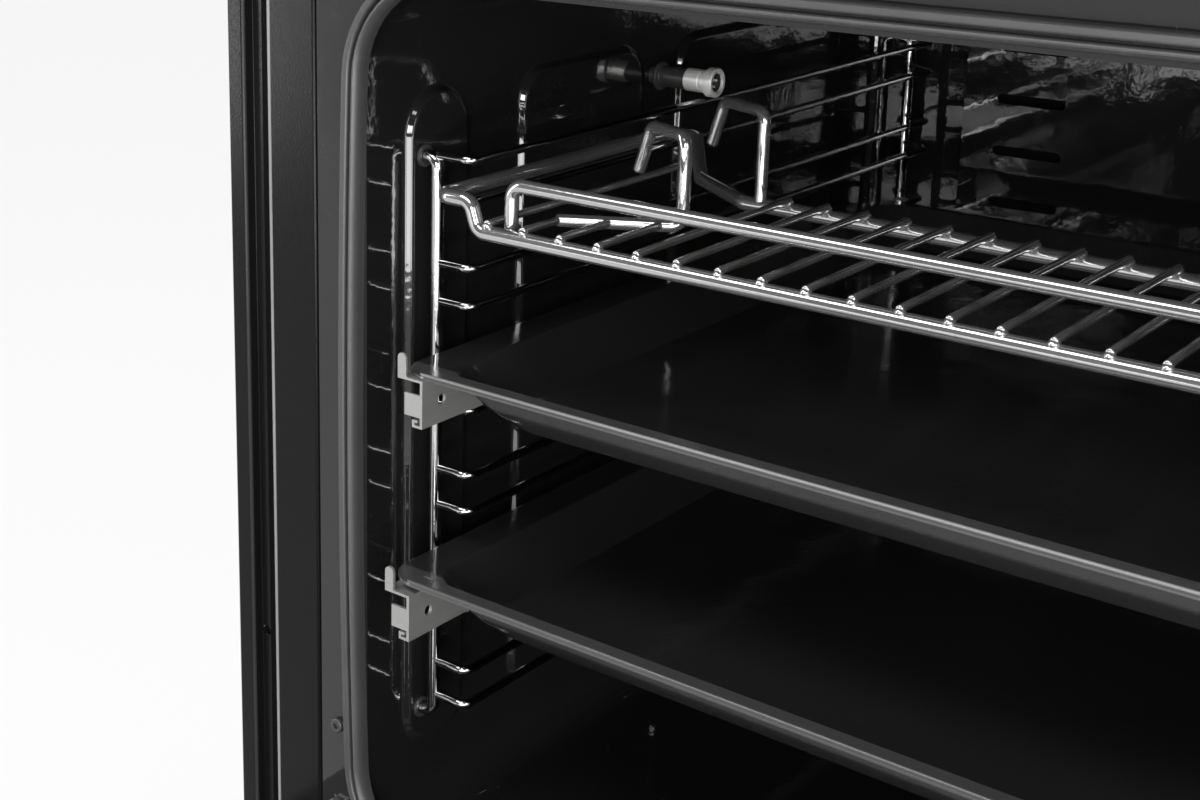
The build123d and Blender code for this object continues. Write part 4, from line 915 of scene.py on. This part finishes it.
def tray(node):
    """Tray with a rolled rim, a wall that leans inwards, a rounded floor and a front strip."""
    low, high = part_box(node)
    front, rear, side = low.y / MM, high.y / MM, high.x / MM
    bottom = low.z / MM
    rim = high.z / MM - STRIP_HEIGHT
    stations = [
        (side - inset, front + inset, rear - inset, rim - drop, corner)
        for inset, drop, corner in TRAY_RIM
    ]
    for beyond, inset, drop, corner in TRAY_WALL_TOP:
        stations.append((TRAY_WALL_X + beyond, front + inset, rear - inset, rim - drop, corner))
    beyond, inset, corner = TRAY_WALL_FOOT
    foot_x, foot_front, foot_rear = TRAY_WALL_X + beyond, front + inset, rear - inset
    stations.append((foot_x, foot_front, foot_rear, bottom + TRAY_WALL_FOOT_HEIGHT, corner))
    for turn in (30.0, 60.0, 90.0):
        inward = TRAY_FLOOR_BEND * math.sin(math.radians(turn))
        up = TRAY_FLOOR_BEND * (1.0 - math.cos(math.radians(90.0 - turn)))
        level = bottom + TRAY_FLOOR_HEIGHT + up
        ends = (foot_front + inward, foot_rear - inward)
        stations.append((foot_x - inward, *ends, level, TRAY_FLOOR_CORNER))
    mesh = bmesh.new()
    walled(mesh, stations, 10)
    joined_up(mesh)
    bmesh.ops.solidify(mesh, geom=list(mesh.faces), thickness=TRAY_SHEET * MM)
    finished(node + "_pan", mesh, node)

    mesh = bmesh.new()
    strip_front, strip_rear = (front + y for y in STRIP_Y)
    stations = [
        (STRIP_X - inset, strip_front + inset, strip_rear - inset, rim + rise, corner)
        for inset, rise, corner in STRIP
    ]
    walled(mesh, stations, 8)
    joined_up(mesh)
    bmesh.ops.holes_fill(mesh, edges=[edge for edge in mesh.edges if edge.is_boundary])
    outward(mesh)
    finished(node + "_front_rim", mesh, node)


def lower_tray_ribs():
    """Ribs that hold the lower tray a little above its runners."""
    low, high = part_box("lower_tray")
    mesh = bmesh.new()
    for sign in (-1.0, 1.0):
        length = high.y - low.y - RIB_SHORTER * MM
        size = Matrix.Diagonal((RIB_WIDTH * MM, length, RIB_HEIGHT * MM, 1.0))
        level = (RIB_BOTTOM + RIB_HEIGHT / 2) * MM
        middle = Matrix.Translation((sign * RIB_X * MM, (low.y + high.y) / 2, level))
        bmesh.ops.create_cube(mesh, size=1.0, matrix=middle @ size)
    rounded(mesh, list(mesh.edges), 0.4, 2)
    outward(mesh)
    finished("lower_tray_ribs", mesh, "lower_tray")


def door_seal():
    """The seal's section, carried round the opening."""
    low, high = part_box("door_seal")
    inner_x = high.x / MM - SEAL_WIDTH - SEAL_BOW
    inner_bottom = low.z / MM + SEAL_WIDTH
    inner_top = high.z / MM - SEAL_WIDTH
    stations = [
        (inner_x + out, inner_bottom - out, inner_top + out, height, SEAL_CORNER + out)
        for out, height in SEAL_SECTION
    ]
    mesh = bmesh.new()
    walled(mesh, stations, 12, bow=SEAL_BOW, floor=False)
    upright = Matrix.Rotation(math.radians(90.0), 3, "X")
    bmesh.ops.rotate(mesh, verts=mesh.verts, cent=(0.0, 0.0, 0.0), matrix=upright)
    bmesh.ops.bridge_loops(mesh, edges=[edge for edge in mesh.edges if edge.is_boundary])
    joined_up(mesh)
    finished("door_seal_ring", mesh, "door_seal")


side_rack("left", 1.0)
side_rack("right", -1.0)
rack_frame()
rack_guard()
rack_hooks()
rack_cross_wires()
spit_socket()
tray("upper_tray")
tray("lower_tray")
lower_tray_ribs()
door_seal()

# These nodes keep their own shape, with their edges softened by this many millimetres
edge_widths = {
    "cavity": 0.3,
    "side_trim_left": 0.3,
    "side_trim_right": 0.3,
    "base_trim": 0.4,
    "upper_slide_left": 0.4,
    "upper_slide_right": 0.4,
    "lower_slide_left": 0.4,
    "lower_slide_right": 0.4,
    "upper_rails": 0.3,
    "lower_rails": 0.3,
    "ladder_bushes": 0.4,
    "flange_screws": 0.25,
    "housing_screws": 0.3,
    "fan_cover": 0.3,
    "lamp_lens": 0.5,
    "grill_element": 0.0,
    "ring_element": 0.0,
    "convection_fan": 0.0,
    "hinge_arms": 0.4,
    "hinge_receivers": 0.3,
    "housing_left": 0.25,
    "housing_right": 0.25,
    "housing_top": 0.25,
    "housing_rear": 0.25,
    "housing_base": 0.25,
    "panel_carrier": 0.25,
    "control_fascia": 0.6,
    "display_window": 0.3,
    "function_knob": 0.5,
    "temperature_knob": 0.5,
    "timer_minus_button": 0.3,
    "timer_set_button": 0.3,
    "timer_plus_button": 0.3,
    "terminal_block": 0.8,
    "door_outer_glass": 0.5,
    "door_inner_glass": 0.4,
    "door_side_profiles": 0.5,
    "door_rails": 0.5,
    "door_hinges": 0.3,
    "door_handle": 0.0,
    "handle_posts": 0.6,
}
for node, width in edge_widths.items():
    softened(node, width)


def pale_floor():
    """Large plain floor, which the camera, mirrors and glass see as nearly white."""
    paper = Finish("Pale floor", grey(0.86), 0.7)
    paper.feed("Base Color", paper.blend(paper.noise(2.0, 3.0), grey(0.84), grey(0.88)))
    white = paper.add("Emission", sockets={"Color": grey(1.0), "Strength": 1.0})
    seen = paper.rays("Camera", "Glossy", "Transmission") * 0.9
    sockets = {0: seen, 1: paper.shader.outputs[0], 2: white.outputs[0]}
    shown = paper.add("MixShader", sockets=sockets)
    paper.join(shown.outputs[0], paper.tree.nodes["Material Output"].inputs["Surface"])
    mesh = bmesh.new()
    under = Matrix.Translation((0.0, 0.0, -0.0008))
    bmesh.ops.create_grid(mesh, x_segments=2, y_segments=2, size=7.0, matrix=under)
    data = bpy.data.meshes.new("floor")
    mesh.to_mesh(data)
    mesh.free()
    data.materials.append(paper.material)
    floor = bpy.data.objects.new("floor", data)
    scene.collection.objects.link(floor)


def studio_world():
    """White backdrop for the camera and dim room light for the object.

    Mirrors and glass show the white backdrop too, on the side behind the object's left.
    """
    world = bpy.data.worlds.new("Studio")
    scene.world = world
    world.use_nodes = True
    studio = Nodes(world.node_tree)
    backdrop = studio.tree.nodes["Background"]
    studio.join(grey(1.0), backdrop.inputs["Color"])
    studio.join(1.0, backdrop.inputs["Strength"])
    room = studio.add("Background", sockets={"Color": (0.94, 0.96, 1.0), "Strength": 0.13})
    direction = studio.add("TexCoord").outputs["Generated"]
    sockets = {0: direction, 1: (-0.62, 0.78, 0.0)}
    towards = studio.add("VectorMath", {"operation": "DOT_PRODUCT"}, sockets)
    behind_left = Value(studio, towards.outputs["Value"]).step(0.1, 0.6)
    mirrored = studio.rays("Glossy", "Transmission") * behind_left
    white = studio.rays("Camera").larger(mirrored)
    sockets = {0: white, 1: room.outputs[0], 2: backdrop.outputs[0]}
    shown = studio.add("MixShader", sockets=sockets)
    studio.join(shown.outputs[0], studio.tree.nodes["World Output"].inputs["Surface"])


def soft_box(name, place, target, width, height, power):
    """Rectangular studio lamp aimed at a point."""
    data = bpy.data.lights.new(name, "AREA")
    data.shape = "RECTANGLE"
    data.size = width
    data.size_y = height
    data.energy = power
    lamp = bpy.data.objects.new(name, data)
    lamp.location = place
    aim = Vector(target) - Vector(place)
    lamp.rotation_euler = aim.to_track_quat("-Z", "Y").to_euler()
    lamp.visible_camera = False
    scene.collection.objects.link(lamp)


def photo_camera():
    """Camera at the photograph's angle, to the right of the opening and above it."""
    data = bpy.data.cameras.new("Camera")
    data.sensor_width = 36.0
    data.lens = 55.17
    data.shift_x = 0.1875
    data.shift_y = -0.1333
    data.clip_start = 0.01
    camera = bpy.data.objects.new("Camera", data)
    level, down, left = math.radians(90.0), math.radians(14.83), math.radians(41.38)
    camera.location = (0.1935, -0.4739, 0.5101)
    camera.rotation_euler = (level - down, 0.0, left)
    scene.collection.objects.link(camera)
    scene.camera = camera


scene.view_settings.view_transform = "Standard"
pale_floor()
studio_world()
soft_box("front right box", (0.75, -1.75, 0.75), (-0.1, 0.1, 0.3), 0.45, 0.6, 24.0)
soft_box("left strip", (-1.6, -1.2, 0.6), (-0.1, 0.0, 0.3), 0.22, 1.5, 13.0)
soft_box("right strip", (1.7, -0.9, 0.7), (-0.2, 0.1, 0.3), 0.6, 1.3, 11.0)
soft_box("overhead", (-0.35, -1.0, 1.75), (0.0, 0.1, 0.3), 1.7, 0.5, 30.0)
soft_box("low strip", (-0.65, -1.6, 0.03), (-0.1, 0.0, 0.35), 1.2, 0.06, 0.7)
soft_box("near right box", (0.42, -0.64, 0.17), (-0.2, 0.03, 0.32), 0.3, 0.22, 3.2)
soft_box("near middle box", (0.06, -0.85, 0.17), (-0.2, 0.03, 0.32), 0.3, 0.22, 3.2)
photo_camera()
